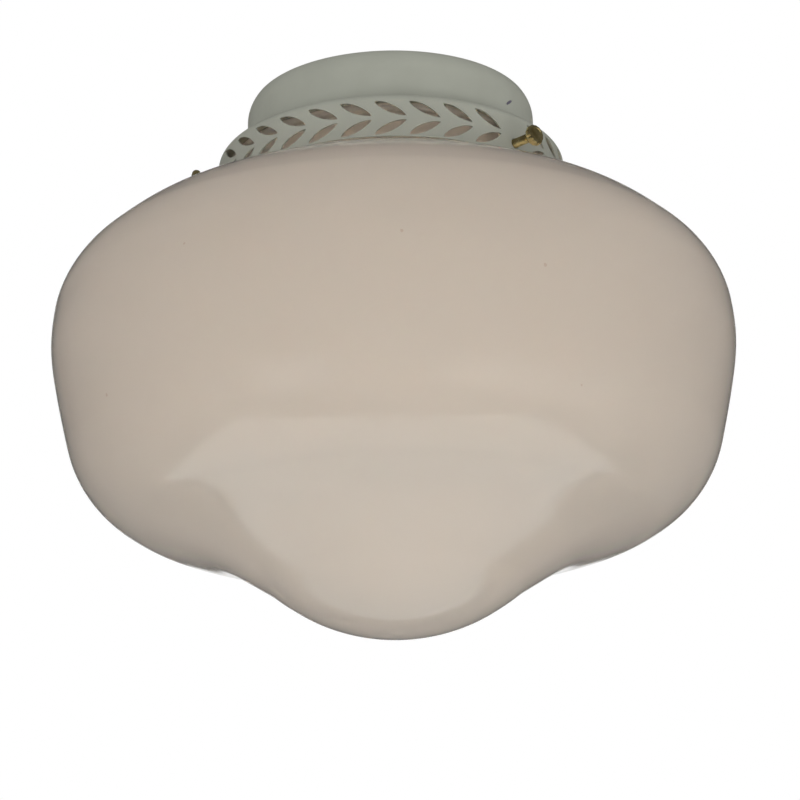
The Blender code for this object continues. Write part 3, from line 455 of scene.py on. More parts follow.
def cut_groove(turns):
    """How deep a cut thread's pointed groove is after so many turns, from 0 to 1."""
    return 1 - abs(2 * (turns % 1) - 1)


def rolled_groove(turns):
    """How deep a rolled thread's rounded groove is after so many turns, from 0 to 1."""
    return 0.5 - 0.5 * cos(2 * pi * turns)


def threaded(groove, depth, pitch, low, high, radius, fade=1.0):
    """A shape with a helical groove at one radius. It fades out over so many turns at each end."""

    def reach(own, height, angle):
        """The radius at a height and an angle, with the groove cut in."""
        if not low < height < high or abs(own - radius) > WELD:
            return own
        share = min(1.0, (height - low) / (fade * pitch), (high - height) / (fade * pitch))
        return own - depth * share * groove(height / pitch - angle / (2 * pi))

    return reach


def rows_between(radius, low, high, pitch):
    """Rows that are close enough together to carry a thread of this pitch."""
    count = max(2, round((high - low) / pitch * ROWS_PER_PITCH))
    return [(radius, low + (high - low) * i / count) for i in range(count + 1)]


def boolean(target, tool, operation="DIFFERENCE"):
    """Applies a cut or a join, and removes its tool."""
    modifier = target.modifiers.new("shape", "BOOLEAN")
    modifier.object = tool
    modifier.operation = operation
    modifier.solver = "EXACT"
    bpy.context.view_layer.update()
    graph = bpy.context.evaluated_depsgraph_get()
    mesh = bpy.data.meshes.new_from_object(target.evaluated_get(graph))
    target.modifiers.clear()
    target.data = mesh
    mesh.shade_smooth()
    mesh.set_sharp_from_angle(angle=SHARP_EDGE)
    bpy.data.objects.remove(tool, do_unlink=True)


def add_cylinder(bm, radius, low, high, place):
    """A closed cylinder along Z of a place."""
    made = bmesh.ops.create_cone(
        bm, cap_ends=True, segments=SMALL_FACETS, radius1=radius, radius2=radius, depth=high - low
    )
    bmesh.ops.translate(bm, verts=made["verts"], vec=(0, 0, (low + high) / 2))
    bmesh.ops.transform(bm, verts=made["verts"], matrix=place)


def refined(node, finish, bevel=FINE_BEVEL, smooth_times=0):
    """A finer copy of a solid whose shape is right: welded, with its edges eased."""
    bm = bmesh.new()
    bm.from_mesh(nodes[node].data)
    bmesh.ops.remove_doubles(bm, verts=bm.verts, dist=WELD)
    bmesh.ops.dissolve_limit(bm, angle_limit=FLAT_ENOUGH, verts=bm.verts, edges=bm.edges)
    if bevel:
        shared = [edge for edge in bm.edges if len(edge.link_faces) == 2]
        edges = [edge for edge in shared if edge.calc_face_angle() > SHARP_EDGE]
        bmesh.ops.bevel(bm, geom=edges, offset=bevel, segments=2, affect="EDGES", clamp_overlap=True)
    piece = new_piece(f"{node}_fine", bm)
    if smooth_times:
        smooth = piece.modifiers.new("smooth", "SUBSURF")
        smooth.levels = smooth_times
        smooth.render_levels = smooth_times
    settle(piece, KIT_FRAME, node, finish)


# Finishes


def new_finish(name, **fixed):
    """A material and its shader, with the values that are the same all over set on the shader."""
    made = bpy.data.materials.new(name)
    made.use_nodes = True
    shader = made.node_tree.nodes["Principled BSDF"]
    for socket, value in fixed.items():
        shader.inputs[socket.replace("_", " ")].default_value = value
    return made, made.node_tree, shader


def texture(tree, kind, scale, stretch=(1, 1, 1), **settings):
    """A pattern in the piece's own coordinates. The scale is in features per metre."""
    coordinates = tree.nodes.new("ShaderNodeTexCoord")
    mapping = tree.nodes.new("ShaderNodeMapping")
    mapping.inputs["Scale"].default_value = stretch
    made = tree.nodes.new(kind)
    made.inputs["Scale"].default_value = scale
    for name, value in settings.items():
        made.inputs[name].default_value = value
    tree.links.new(coordinates.outputs["Object"], mapping.inputs["Vector"])
    tree.links.new(mapping.outputs["Vector"], made.inputs["Vector"])
    return made


def noise(tree, scale, stretch=(1, 1, 1), detail=4.0):
    """A cloudy value between 0 and 1."""
    made = texture(tree, "ShaderNodeTexNoise", scale, stretch, Detail=detail, Roughness=NOISE_ROUGHNESS)
    return made.outputs["Fac"]


def cells(tree, scale):
    """How far a spot is from the middle of its cell."""
    return texture(tree, "ShaderNodeTexVoronoi", scale).outputs["Distance"]


def blend(tree, factor, first, second, start=0.3, end=0.7):
    """A colour that goes from the first to the second as a factor goes from start to end."""
    ramp = tree.nodes.new("ShaderNodeValToRGB")
    stops = ((start, first), (end, second))
    for element, (place, colour) in zip(ramp.color_ramp.elements, stops):
        element.position = place
        element.color = (*colour, 1)
    tree.links.new(factor, ramp.inputs["Fac"])
    return ramp.outputs["Color"]


def spread(tree, factor, low, high, start=0.3, end=0.7):
    """A value that goes from low to high as a factor goes from start to end."""
    ranged = tree.nodes.new("ShaderNodeMapRange")
    for name, value in (("From Min", start), ("From Max", end), ("To Min", low), ("To Max", high)):
        ranged.inputs[name].default_value = value
    tree.links.new(factor, ranged.inputs["Value"])
    return ranged.outputs["Result"]


def mixed(tree, factor, first, second):
    """The first colour where the factor is 0, the second where it is 1."""
    mix = tree.nodes.new("ShaderNodeMix")
    mix.data_type = "RGBA"
    tree.links.new(factor, mix.inputs["Factor"])
    for name, value in (("A", first), ("B", second)):
        socket = next(s for s in mix.inputs if s.name == name and s.type == "RGBA")
        if isinstance(value, tuple):
            socket.default_value = (*value, 1)
        else:
            tree.links.new(value, socket)
    return next(s for s in mix.outputs if s.type == "RGBA")


def math_of(tree, operation, first, second):
    """What an operation makes of two values, each a number or another node's result."""
    made = tree.nodes.new("ShaderNodeMath")
    made.operation = operation
    for socket, value in zip(made.inputs, (first, second)):
        if isinstance(value, (int, float)):
            socket.default_value = value
        else:
            tree.links.new(value, socket)
    return made.outputs["Value"]


def relief(tree, shader, height, depth):
    """Adds a bump, on top of any that the shader has."""
    bump = tree.nodes.new("ShaderNodeBump")
    bump.inputs["Distance"].default_value = depth
    tree.links.new(height, bump.inputs["Height"])
    if shader.inputs["Normal"].is_linked:
        tree.links.new(shader.inputs["Normal"].links[0].from_socket, bump.inputs["Normal"])
    tree.links.new(bump.outputs["Normal"], shader.inputs["Normal"])


def link(tree, shader, **sources):
    """Leads results into the shader's inputs, which are named with underlines for spaces."""
    for socket, source in sources.items():
        tree.links.new(source, shader.inputs[socket.replace("_", " ")])


def paint_finish(name, chipped=False):
    """Satin off-white enamel with a fine orange peel, faint clouding and, if asked, one chip."""
    made, tree, shader = new_finish(name, IOR=GLASS_IOR)
    colour = blend(tree, noise(tree, 60, detail=5), PAINT_DULL, PAINT)
    speck = blend(tree, cells(tree, 420), BLACK, WHITE, 0.02, 0.05)
    colour = mixed(tree, speck, PAINT_SPECK, colour)
    if chipped:
        colour = add_chip(tree, shader, colour)
    link(tree, shader, Base_Color=colour, Roughness=spread(tree, noise(tree, 150), *PAINT_ROUGHNESS))
    relief(tree, shader, noise(tree, 900, detail=2), PAINT_PEEL)
    return made


def ragged_spot(tree, start, end, width, ragged, grain):
    """1 inside a ragged spot that lies along a line on the surface, and 0 outside it."""
    line = end - start
    coordinates = tree.nodes.new("ShaderNodeTexCoord")
    turned_in = tree.nodes.new("ShaderNodeMapping")
    turned_in.vector_type = "TEXTURE"
    turned_in.inputs["Location"].default_value = (start + end) / 2
    turned_in.inputs["Rotation"].default_value = line.to_track_quat("X", "Z").to_euler()
    turned_in.inputs["Scale"].default_value = (line.length / 2, width / 2, width / 2)
    reach = tree.nodes.new("ShaderNodeVectorMath")
    reach.operation = "LENGTH"
    tree.links.new(coordinates.outputs["Object"], turned_in.inputs["Vector"])
    tree.links.new(turned_in.outputs["Vector"], reach.inputs[0])
    frayed = spread(tree, noise(tree, grain, detail=3), -ragged, ragged, 0.2, 0.8)
    return spread(tree, math_of(tree, "ADD", reach.outputs["Value"], frayed), 1.0, 0.0, 0.8, 1.0)


def add_chip(tree, shader, colour):
    """A chip that shows bare dark metal, a little below the paint."""
    bare = ragged_spot(tree, CHIP_START, CHIP_END, CHIP_WIDTH, ragged=0.35, grain=1400)
    relief(tree, shader, math_of(tree, "SUBTRACT", 1.0, bare), CHIP_DEPTH)
    return mixed(tree, bare, colour, CHIP_METAL)


def opal_finish():
    """A glossy skin over milky glass that lets light through, with clouds and faint marks."""
    made, tree, shader = new_finish(
        "opal_glass_finish",
        IOR=GLASS_IOR,
        Specular_IOR_Level=0.0,
        Transmission_Weight=OPAL_LET_THROUGH_SHARE,
        Coat_Weight=1.0,
    )
    colour = blend(tree, noise(tree, 9, detail=3), OPAL_CLOUD, OPAL, 0.35, 0.65)
    reach = MARK_LEAN * MARK_SIZE / 2
    for place in MARK_PLACES:
        stain = ragged_spot(tree, place - reach, place + reach, MARK_SIZE, ragged=0.5, grain=900)
        colour = mixed(tree, math_of(tree, "MULTIPLY", stain, OPAL_MARK_SHARE), colour, OPAL_MARK)
    drift = noise(tree, 30)
    link(tree, shader, Base_Color=colour, Roughness=spread(tree, drift, *OPAL_ROUGHNESS))
    link(tree, shader, Coat_Roughness=spread(tree, drift, *OPAL_SKIN_ROUGHNESS))
    relief(tree, shader, noise(tree, 14, stretch=(1, 1, 0.5), detail=1), OPAL_WAVE)
    tree.links.new(shader.inputs["Normal"].links[0].from_socket, shader.inputs["Coat Normal"])
    return made


def metal_finish(name, grain=900, stretch=(1, 1, 1), depth=METAL_GRAIN):
    """A metal with a mottled tint, uneven polish and a fine grain."""
    made, tree, shader = new_finish(f"{name}_finish", Metallic=1.0)
    bright, dull, smooth, rough = METALS[name]
    link(tree, shader, Base_Color=blend(tree, noise(tree, 220, detail=6), dull, bright))
    link(tree, shader, Roughness=spread(tree, noise(tree, 320, detail=5), smooth, rough))
    relief(tree, shader, noise(tree, grain, stretch, detail=3), depth)
    return made


def zinc_finish():
    """Zinc plate: grey crystals with a faint yellow and blue passivation tint."""
    made, tree, shader = new_finish("zinc_finish", Metallic=1.0)
    crystals = cells(tree, 700)
    grey = blend(tree, crystals, ZINC_LIGHT, ZINC_DARK, 0.1, 0.8)
    tint = blend(tree, noise(tree, 90, detail=3), ZINC_BLUE, ZINC_YELLOW, 0.35, 0.65)
    colour = mixed(tree, spread(tree, noise(tree, 60), *ZINC_TINT_SHARES), grey, tint)
    link(tree, shader, Base_Color=colour)
    link(tree, shader, Roughness=spread(tree, crystals, *ZINC_ROUGHNESS, 0.1, 0.8))
    relief(tree, shader, crystals, METAL_GRAIN)
    return made


def moulded_finish(name, grain=1200, depth=MOULDED_GRAIN, coat=0.0):
    """A moulded or glazed piece: a drifting colour, an uneven gloss and a fine grain."""
    made, tree, shader = new_finish(
        f"{name}_finish",
        Coat_Weight=coat,
        Coat_Roughness=GLAZE_ROUGHNESS,
    )
    colour, shade, rough = MOULDED[name]
    drift = rough * MOULDED_DRIFT_SHARE
    link(tree, shader, Base_Color=blend(tree, noise(tree, 130, detail=5), shade, colour))
    link(tree, shader, Roughness=spread(tree, noise(tree, 260), rough - drift, rough + drift))
    relief(tree, shader, noise(tree, grain, detail=3), depth)
    return made


def fibre_finish():
    """Pressed glass fibre: matted strands in two directions, with darker flecks of binder."""
    made, tree, shader = new_finish(
        "fibre_finish",
        Specular_IOR_Level=FIBRE_GLOSS,
        Sheen_Weight=FIBRE_SHEEN_SHARE,
    )
    strands = noise(tree, 500, stretch=(1, 9, 1), detail=5)
    across = noise(tree, 500, stretch=(9, 1, 1), detail=5)
    mat = math_of(tree, "MAXIMUM", strands, across)
    colour = blend(tree, mat, FIBRE_DARK, FIBRE_LIGHT, 0.40, 0.72)
    flecks = blend(tree, cells(tree, 300), BLACK, WHITE, 0.05, 0.12)
    link(tree, shader, Base_Color=mixed(tree, flecks, FIBRE_BINDER, colour))
    link(tree, shader, Roughness=spread(tree, mat, *FIBRE_ROUGHNESS))
    relief(tree, shader, mat, FIBRE_PILE)
    return made


def frosted_finish():
    """A frosted lamp: a white coating under clear glass."""
    made, tree, shader = new_finish(
        "frosted_finish",
        Subsurface_Weight=FROST_SCATTER_SHARE,
        Subsurface_Scale=FROST_REACH,
        Coat_Weight=FROST_SKIN_SHARE,
    )
    link(tree, shader, Base_Color=blend(tree, noise(tree, 80), FROST_DARK, FROST_LIGHT))
    link(tree, shader, Roughness=spread(tree, noise(tree, 200), *FROST_ROUGHNESS))
    relief(tree, shader, noise(tree, 2500, detail=2), FROST_GRAIN)
    return made


# Pieces


def make_globe(finish):
    """The opal glass, with finer curves between the same points."""
    outline = softened(outline_of("glass_globe", KIT_FRAME))
    settle(turned("globe", outline, GLOBE_FACETS), KIT_FRAME, "glass_globe", finish)


def bushing_frame():
    """The bushing's own frame, with Z up along its axis."""
    near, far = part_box("lead_bushing")
    return upright((0, (near.y + far.y) / 2, 0))


def wiring_holes(low, high):
    """The holes for the nipple and for the bushing's lower end, where those pieces are."""
    bushing = outline_of("lead_bushing", bushing_frame())
    lowest = min(z for r, z in bushing)
    barrel = max(r for r, z in bushing if z - lowest < WELD)
    bm = bmesh.new()
    add_cylinder(bm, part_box("hanger_nipple")[1].x + CLEARANCE, low, high, KIT_FRAME)
    add_cylinder(bm, barrel + CLEARANCE, low, high, bushing_frame())
    return new_piece("wiring_holes", bm)


def make_collar(finish):
    """The drawn cup, with its crowned rim, flat lip and rounded foot."""
    near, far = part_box("mounting_collar")
    radius, bottom = far.x, near.z
    bend = (radius - COLLAR_BEND, bottom + COLLAR_BEND)
    crown_end = acos(1 - (radius - COLLAR_RIM_RADIUS) / COLLAR_CROWN)
    crown = (radius - COLLAR_CROWN, -COLLAR_CROWN * sin(crown_end))
    lip_end = COLLAR_RIM_RADIUS - COLLAR_LIP
    ease = SHEET / 4
    outline = [(0, bottom)] + arc(bend, COLLAR_BEND, -pi / 2, 0, ARC_STEPS)
    outline += arc(crown, COLLAR_CROWN, 0, crown_end, WIDE_ARC_STEPS)[:-1]
    outline += [(COLLAR_RIM_RADIUS + ease / 3, -ease), (COLLAR_RIM_RADIUS - ease, 0)]
    outline += [(lip_end + ease, 0), (lip_end, -ease), (lip_end, -SHEET)]
    outline += arc(crown, COLLAR_CROWN - SHEET, crown_end * COLLAR_INNER_CROWN_SHARE, 0, ARC_STEPS)
    outline += arc(bend, COLLAR_BEND - SHEET, 0, -pi / 2, TIGHT_ARC_STEPS) + [(0, bottom + SHEET)]
    piece = turned("collar", outline, SHEET_FACETS)
    boolean(piece, wiring_holes(bottom - SHEET, bottom + 2 * SHEET))
    settle(piece, KIT_FRAME, "mounting_collar", finish)


def leaf_outline():
    """A full leaf lying along X, a little blunter at -X."""
    upper = []
    for i in range(LEAF_POINTS // 2 + 1):
        x = -cos(2 * pi * i / LEAF_POINTS)
        width = (1 - x * x) ** LEAF_FULLNESS_SHARE * (1 - LEAF_BLUNT_SHARE * x)
        upper.append((x * LEAF_LENGTH / 2, width * LEAF_WIDTH / 2))
    return upper + [(x, -y) for x, y in upper[-2:0:-1]]


def add_leaf(bm, azimuth, level, tilt, radius):
    """A prism through the skirt, at an azimuth from the front."""
    place = along((sin(azimuth), -cos(azimuth), 0), (0, 0, 1), (0, 0, level))
    place = place @ Matrix.Rotation(tilt, 4, "Z")
    rings = []
    for z in (radius - 3 * SHEET, radius + 3 * SHEET):
        rings.append([bm.verts.new(place @ Vector((x, y, z))) for x, y in leaf_outline()])
    bm.faces.new(rings[0])
    bm.faces.new(rings[1][::-1])
    for i in range(LEAF_POINTS):
        j = (i + 1) % LEAF_POINTS
        bm.faces.new((rings[0][i], rings[0][j], rings[1][j], rings[1][i]))


def make_pan(finish):
    """The fitter pan: a stamped cup with an eased corner, two rows of leaf slots and screw bosses."""
    near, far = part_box("fitter_pan")
    radius, top, edge = far.x, far.z, near.z
    collar_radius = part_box("mounting_collar")[1].x
    start = pi / 2 - PAN_TOP_SLOPE
    corner_r = radius - PAN_CORNER
    slope_run = corner_r + PAN_CORNER * cos(start) - collar_radius
    corner = (corner_r, top - slope_run * tan(PAN_TOP_SLOPE) - PAN_CORNER * sin(start))
    ease = SHEET / 4
    outline = [(0, top), (collar_radius, top)] + arc(corner, PAN_CORNER, start, 0, WIDE_ARC_STEPS)
    outline += [(radius, edge + ease), (radius - ease, edge), (radius - SHEET + ease, edge)]
    outline += [(radius - SHEET, edge + ease)] + arc(corner, PAN_CORNER - SHEET, 0, start, ARC_STEPS)
    outline += [(collar_radius, top - SHEET), (0, top - SHEET)]
    piece = turned("pan", outline, SHEET_FACETS)
    bosses = bmesh.new()
    cuts = bmesh.new()
    for letter in "abc":
        place = screw_frame(letter)
        stud = outline_of(f"thumbscrew_stud_{letter}", place)
        bore = max(r for r, z in stud) + CLEARANCE
        inner = radius - SHEET - BOSS_DEPTH
        add_cylinder(bosses, BOSS_RADIUS, inner, radius - SHEET / 2, place)
        add_cylinder(cuts, bore, inner - 2 * SHEET, radius + 3 * SHEET, place)
    boolean(piece, new_piece("bosses", bosses), "UNION")
    axis = Vector(joints["thumbscrew_a_turn"]["axis"])
    first = atan2(axis.x, -axis.y)
    for leaf in range(LEAF_PLACES):
        if leaf % LEAF_PLACES_PER_SCREW:
            azimuth = first + 2 * pi * leaf / LEAF_PLACES
            add_leaf(cuts, azimuth, edge + UPPER_ROW_HEIGHT, -LEAF_TILT, radius)
            add_leaf(cuts, azimuth, edge + LOWER_ROW_HEIGHT, LEAF_TILT, radius)
    boolean(piece, new_piece("pan_cuts", cuts))
    boolean(piece, wiring_holes(top - 2 * SHEET, top + SHEET))
    settle(piece, KIT_FRAME, "fitter_pan", finish)


def make_thumbscrew(letter, finish):
    """A fluted, rounded brass knob on a threaded stud."""
    place = screw_frame(letter)
    knob = outline_of(f"thumbscrew_knob_{letter}", place)
    stud = outline_of(f"thumbscrew_stud_{letter}", place)
    radius = max(r for r, z in knob)
    low, high = min(z for r, z in knob), max(z for r, z in knob)
    bore = min(r for r, z in knob if r > CLEARANCE)
    stud_radius = max(r for r, z in stud)
    tip, stud_end = min(z for r, z in stud), max(z for r, z in stud)
    middle, half = (low + high) / 2, (high - low) / 2
    edge = radius * KNOB_EDGE_SHARE
    hole = [(0, stud_end + CLEARANCE), (bore, stud_end + CLEARANCE), (bore, low)]
    round_edge = arc((0, 0), 1, -pi / 2, pi / 2, KNOB_EDGE_STEPS)
    rounded = [(radius - edge + edge * x, middle + half * y) for x, y in round_edge]
    dish = [(radius * out, high - SHEET * down) for out, down in KNOB_FACE_SHARES]

    def fluted(own, height, angle):
        """The knob's radius, with flutes that fade out inwards."""
        share = max(0.0, (own - radius + edge) / edge)
        return own * (1 - KNOB_FLUTE_SHARE * share * (0.5 + 0.5 * cos(KNOB_FLUTES * angle)) ** 2)

    facets = KNOB_FLUTES * FACETS_PER_KNOB_FLUTE
    piece = turned(f"knob_{letter}", hole + rounded + dish, facets, fluted)
    settle(piece, place, f"thumbscrew_knob_{letter}", finish)
    chamfer = STUD_THREAD_DEPTH
    rod = [(0, tip), (stud_radius - chamfer, tip)]
    rod += rows_between(stud_radius, tip + chamfer, stud_end, STUD_PITCH) + [(0, stud_end)]
    thread = threaded(cut_groove, STUD_THREAD_DEPTH, STUD_PITCH, tip, low, stud_radius)
    piece = turned(f"stud_{letter}", rod, TINY_FACETS, thread, SHARP_THREAD_EDGE)
    settle(piece, place, f"thumbscrew_stud_{letter}", finish)


def make_nipple(finish):
    """A hollow rod with a pipe thread over its whole length."""
    near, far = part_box("hanger_nipple")
    bore = min(r for r, z in outline_of("hanger_nipple", KIT_FRAME))
    radius, chamfer = far.x, NIPPLE_THREAD_DEPTH
    outline = [(bore, near.z), (radius - chamfer, near.z)]
    outline += rows_between(radius, near.z + chamfer, far.z - chamfer, NIPPLE_PITCH)
    outline += [(radius - chamfer, far.z), (bore, far.z)]
    thread = threaded(cut_groove, NIPPLE_THREAD_DEPTH, NIPPLE_PITCH, near.z, far.z, radius)
    piece = turned("nipple", outline, SMALL_FACETS, thread, SHARP_THREAD_EDGE)
    settle(piece, KIT_FRAME, "hanger_nipple", finish)


def make_turned(node, place, finish, facets=SMALL_FACETS, azimuth=0.0):
    """A finer copy of a plain turned solid."""
    outline = outline_of(node, place, azimuth)
    piece = turned(f"{node}_fine", softened(outline, closed=is_ring(outline)), facets)
    settle(piece, place, node, finish)


def make_lamp_cap(side, place, finish):
    """The rolled screw cap: a round-bottomed thread, a plain skirt and a coned end."""
    node = f"lamp_cap_{side}"
    solid = outline_of(node, place)
    radius = max(r for r, z in solid)
    top, foot = max(z for r, z in solid), min(z for r, z in solid)
    at_top = [r for r, z in solid if top - z < WELD]
    crests = [z for r, z in solid if radius - r < WELD]
    start, skirt = max(crests), sorted(crests)[1]
    inner = radius - LAMP_THREAD_DEPTH - CAP_SHEET
    rows = rows_between(radius, skirt, start, LAMP_PITCH / 2)
    outline = [(inner, foot), (radius, foot)] + rows
    outline += [(max(at_top), top), (min(at_top), top), (inner, start)]
    thread = threaded(rolled_groove, LAMP_THREAD_DEPTH, LAMP_PITCH, skirt, start, radius, fade=0.5)
    piece = turned(f"{node}_fine", outline, SMALL_FACETS, thread, SHARP_ROLLED_EDGE)
    settle(piece, place, node, finish)


def make_screw_shell(side, place, finish):
    """The socket's rolled shell, open at the mouth and threaded inside."""
    node = f"screw_shell_{side}"
    solid = outline_of(node, place)
    outer = max(r for r, z in solid)
    top, mouth = max(z for r, z in solid), min(z for r, z in solid)
    hole = min(r for r, z in solid)
    crest = max(r for r, z in solid if r < outer - WELD)
    wall = outer - crest
    rows = rows_between(crest, mouth, top - wall, LAMP_PITCH / 2)
    outline = [(hole, top), (outer, top), (outer, mouth)] + rows + [(hole, top - wall)]
    thread = threaded(rolled_groove, LAMP_THREAD_DEPTH, LAMP_PITCH, mouth, top - wall, crest)
    piece = turned(f"{node}_fine", outline, SMALL_FACETS, thread, SHARP_ROLLED_EDGE)
    settle(piece, place, node, finish)


def make_socket_screw(side, end, place, finish):
    """A slotted pan-head screw."""
    node = f"socket_screw_{side}_{end}"
    own_place = axis_frame(node, place)
    outline = outline_of(node, own_place)
    piece = turned(f"{node}_fine", softened(outline, corner=SCREW_HEAD_CORNER), TINY_FACETS)
    crown = max(z for r, z in outline)
    head = max(r for r, z in outline)
    bm = bmesh.new()
    bmesh.ops.create_cube(bm, size=1.0)
    bmesh.ops.scale(bm, verts=bm.verts, vec=(3 * head, SCREW_SLOT_WIDTH, 2 * SCREW_SLOT_DEPTH))
    bmesh.ops.translate(bm, verts=bm.verts, vec=(0, 0, crown))
    boolean(piece, new_piece("slot", bm))
    settle(piece, own_place, node, finish)


def make_connector(colour, finish):
    """A twist-on connector: a ribbed cone, open at its mouth."""
    node = f"wire_connector_{colour}"
    near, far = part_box(node)
    middle = (near + far) / 2
    outward = 1 if middle.x > 0 else -1
    mouth = Vector((near.x if outward > 0 else far.x, middle.y, middle.z))
    place = along((outward, 0, 0), (0, 1, 0), mouth)
    outline = outline_of(node, place)
    inner = sorted({round(r, 6) for r, z in outline})[1]

    def ribbed(own, height, angle):
        """The connector's radius, ribbed outside and plain inside."""
        if own <= inner + CLEARANCE:
            return own
        return own * (1 - CONNECTOR_FLUTE_SHARE * (0.5 - 0.5 * cos(CONNECTOR_FLUTES * angle)))

    facets = CONNECTOR_FLUTES * FACETS_PER_CONNECTOR_FLUTE
    piece = turned(f"{node}_fine", softened(outline), facets, ribbed)
    settle(piece, place, node, finish)


# Stage


def shows_background(tree):
    """1 for rays that show the background to the camera, in reflections or through glass."""
    path = tree.nodes.new("ShaderNodeLightPath")
    seen = math_of(tree, "ADD", path.outputs["Is Camera Ray"], path.outputs["Is Glossy Ray"])
    seen = math_of(tree, "ADD", seen, path.outputs["Is Transmission Ray"])
    return math_of(tree, "MINIMUM", seen, 1.0)


def make_world():
    """Soft light from all round, and plain white wherever the background shows."""
    world = bpy.data.worlds.new("studio")
    bpy.context.scene.world = world
    world.use_nodes = True
    tree = world.node_tree
    tree.nodes.clear()
    output = tree.nodes.new("ShaderNodeOutputWorld")
    mix = tree.nodes.new("ShaderNodeMixShader")
    lit = tree.nodes.new("ShaderNodeBackground")
    lit.inputs["Color"].default_value = (*AMBIENT_TINT, 1)
    lit.inputs["Strength"].default_value = AMBIENT
    shown = tree.nodes.new("ShaderNodeBackground")
    shown.inputs["Color"].default_value = (*WHITE, 1)
    tree.links.new(shows_background(tree), mix.inputs["Fac"])
    tree.links.new(lit.outputs["Background"], mix.inputs[1])
    tree.links.new(shown.outputs["Background"], mix.inputs[2])
    tree.links.new(mix.outputs["Shader"], output.inputs["Surface"])


def new_stage_piece(name, bm, scale, shade, pale):
    """A dull, faintly mottled object that is part of the studio."""
    mesh = bpy.data.meshes.new(name)
    bm.to_mesh(mesh)
    bm.free()
    piece = bpy.data.objects.new(name, mesh)
    collection.objects.link(piece)
    made, tree, shader = new_finish(
        f"{name}_finish",
        Roughness=STAGE_ROUGHNESS,
        Specular_IOR_Level=STAGE_GLOSS,
    )
    link(tree, shader, Base_Color=blend(tree, noise(tree, scale, detail=6), shade, pale))
    mesh.materials.append(made)
    return piece


def make_floor():
    """A wide pale floor, far below the object."""
    bm = bmesh.new()
    bmesh.ops.create_circle(bm, cap_ends=True, segments=SMALL_FACETS, radius=FLOOR_RADIUS)
    bmesh.ops.translate(bm, verts=bm.verts, vec=(0, 0, FLOOR_LEVEL))
    for face in bm.faces:
        if face.normal.z < 0:
            face.normal_flip()
    new_stage_piece("floor", bm, scale=3, shade=FLOOR_SHADE, pale=FLOOR_PALE)


def make_area_light(name, place, target, size, level, colour, mirrored=True):
    """A soft lamp. Its level is how bright it makes a white surface that faces it at the target."""
    data = bpy.data.lights.new(name, "AREA")
    data.shape = "RECTANGLE"
    data.size, data.size_y = size
    data.energy = level * pi * pi * (target - place).length_squared
    data.color = colour
    lamp = bpy.data.objects.new(name, data)
    collection.objects.link(lamp)
    lamp.location = place
    lamp.rotation_euler = (target - place).to_track_quat("-Z", "Y").to_euler()
    lamp.visible_camera = False
    lamp.visible_glossy = mirrored


def from_middle(azimuth, elevation, distance):
    """A place in the studio, seen from the object's middle."""
    outward = Vector((sin(azimuth), -cos(azimuth), 0)) * cos(elevation)
    outward.z = sin(elevation)
    return MIDDLE + distance * outward


def add_wall(bm, axis, level, across, along_it, opening=None):
    """A wall square to an axis: one face, or four round an opening."""

    def corners(first, second):
        """The corners of a rectangle in the wall."""
        made = []
        for u, v in ((0, 0), (1, 0), (1, 1), (0, 1)):
            spot = [first[u], second[v]]
            spot.insert(axis, level)
            made.append(bm.verts.new(spot))
        return made

    outer = corners(across, along_it)
    if not opening:
        bm.faces.new(outer)
        return
    inner = corners(*opening)
    for i in range(4):
        j = (i + 1) % 4
        bm.faces.new((outer[i], outer[j], inner[j], inner[i]))


def make_room():
    """Dark walls that show only in reflections, open behind the object and over the lit sheet."""
    bm = bmesh.new()
    for x in ROOM_X:
        add_wall(bm, 0, x, ROOM_Y, ROOM_Z)
    add_wall(bm, 1, ROOM_Y[0], ROOM_X, ROOM_Z)
    add_wall(bm, 1, ROOM_Y[1], ROOM_X, ROOM_Z, (ROOM_WINDOW_X, ROOM_WINDOW_Z))
    add_wall(bm, 2, ROOM_Z[0], ROOM_X, ROOM_Y, (LIT_SHEET_X, LIT_SHEET_Y))
    add_wall(bm, 2, ROOM_Z[1], ROOM_X, ROOM_Y)
    room = new_stage_piece("room", bm, scale=2, shade=ROOM_GREY_DARK, pale=ROOM_GREY)
    room.visible_camera = False
    room.visible_diffuse = False
    room.visible_transmission = False
    room.visible_shadow = False


def make_camera():
    """The camera at the photograph's place, with its turn, tilt and roll."""
    forward = Vector(
        (sin(CAMERA_YAW) * cos(CAMERA_PITCH), cos(CAMERA_YAW) * cos(CAMERA_PITCH), sin(CAMERA_PITCH))
    )
    level = Vector((cos(CAMERA_YAW), -sin(CAMERA_YAW), 0))
    above = level.cross(forward)
    right = level * cos(CAMERA_ROLL) - above * sin(CAMERA_ROLL)
    up = level * sin(CAMERA_ROLL) + above * cos(CAMERA_ROLL)
    data = bpy.data.cameras.new("camera")
    data.sensor_width = SENSOR
    data.lens = FOCAL_PIXELS / IMAGE_SIZE * SENSOR
    camera = bpy.data.objects.new("camera", data)
    collection.objects.link(camera)
    matrix = Matrix((right, up, -forward)).transposed().to_4x4()
    matrix.translation = CAMERA_PLACE
    camera.matrix_world = matrix
    bpy.context.scene.camera = camera


def make_lamps():
    """The lit sheet just over the floor, and the lamps round the object."""
    sheet = Vector((sum(LIT_SHEET_X) / 2, sum(LIT_SHEET_Y) / 2, LIT_SHEET_HEIGHT))
    above = Vector((sheet.x, sheet.y, MIDDLE.z))
    sheet_size = (LIT_SHEET_X[1] - LIT_SHEET_X[0], LIT_SHEET_Y[1] - LIT_SHEET_Y[0])
    make_area_light("lit_sheet", sheet, above, sheet_size, LIT_SHEET_LEVEL, LIT_SHEET_TINT)
    for name, (azimuth, elevation, distance, width, height, level, mirrored) in LAMPS.items():
        place = from_middle(radians(azimuth), radians(elevation), distance)
        make_area_light(name, place, MIDDLE, (width, height), level, LAMP_TINT, mirrored)


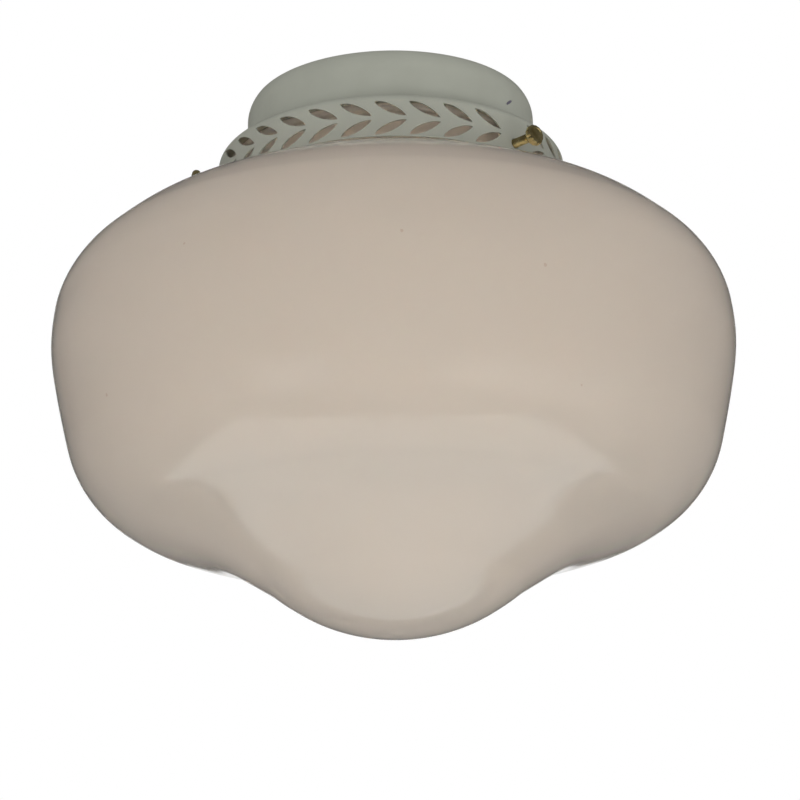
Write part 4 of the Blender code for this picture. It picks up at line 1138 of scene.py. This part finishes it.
def make_stage():
    """The camera, the background, the floor, the dark walls and the lamps."""
    bpy.context.scene.view_settings.view_transform = "Standard"
    make_camera()
    make_world()
    make_floor()
    make_room()
    make_lamps()


def make_finishes():
    """Every finish, by name."""
    return {
        "paint": paint_finish("pan_paint"),
        "chipped_paint": paint_finish("collar_paint", chipped=True),
        "brass": metal_finish("brass"),
        "zinc": zinc_finish(),
        "steel": metal_finish("steel"),
        "aluminium": metal_finish("aluminium", grain=400, stretch=(1, 1, 12)),
        "solder": metal_finish("solder", grain=1500, depth=SOLDER_GRAIN),
        "porcelain": moulded_finish("porcelain", grain=300, depth=GLAZE_GRAIN, coat=GLAZE_SHARE),
        "nylon": moulded_finish("nylon"),
        "connector": moulded_finish("connector"),
        "black_glass": moulded_finish("black_glass", grain=500),
        "black_lead": moulded_finish("black_lead", grain=2500),
        "white_lead": moulded_finish("white_lead", grain=2500),
        "frosted": frosted_finish(),
        "opal": opal_finish(),
        "fibre": fibre_finish(),
    }


def make_mount(finishes):
    """What holds the sockets up: the nipple, its washer and nuts, the bracket and the pad."""
    make_nipple(finishes["zinc"])
    for node, finish, slot in (
        ("lock_washer", "steel", "spring_steel"),
        ("upper_locknut", "zinc", "zinc_plate"),
        ("lower_locknut", "zinc", "zinc_plate"),
        ("socket_bracket", "zinc", "zinc_plate"),
        ("insulation_pad", "fibre", "fibre_pad"),
    ):
        refined(node, finishes[finish])


def make_socket(side, finishes):
    """A socket with its screws and its leads, and the lamp in it."""
    place = socket_frame(side)
    make_turned(f"socket_body_{side}", place, finishes["porcelain"], azimuth=pi / 2)
    make_screw_shell(side, place, finishes["aluminium"])
    for node, finish, slot, facets in (
        ("centre_contact", "brass", "polished_brass", TINY_FACETS),
        ("lamp_contact", "solder", "solder", TINY_FACETS),
        ("lamp_insulator", "black_glass", "black_glass", SMALL_FACETS),
        ("lamp_envelope", "frosted", "frosted_glass", SMALL_FACETS),
    ):
        make_turned(f"{node}_{side}", place, finishes[finish], facets)
    make_lamp_cap(side, place, finishes["aluminium"])
    for end in ("inner", "outer"):
        make_socket_screw(side, end, place, finishes["zinc"])
    for colour in ("black", "white"):
        finish, slot = finishes[f"{colour}_lead"], f"{colour}_insulation"
        refined(f"lead_{colour}_{side}", finish, bevel=0, smooth_times=LEAD_SMOOTHING)


def make_wiring(finishes):
    """The bushing that the leads go up through, and the connectors on their ends."""
    make_turned("lead_bushing", bushing_frame(), finishes["nylon"])
    for colour in ("black", "white"):
        make_connector(colour, finishes["connector"])


def make_object():
    """Every piece, each in place of its solid."""
    finishes = make_finishes()
    make_globe(finishes["opal"])
    make_collar(finishes["chipped_paint"])
    make_pan(finishes["paint"])
    for letter in "abc":
        make_thumbscrew(letter, finishes["brass"])
    make_mount(finishes)
    for side in ("left", "right"):
        make_socket(side, finishes)
    make_wiring(finishes)


make_stage()
make_object()
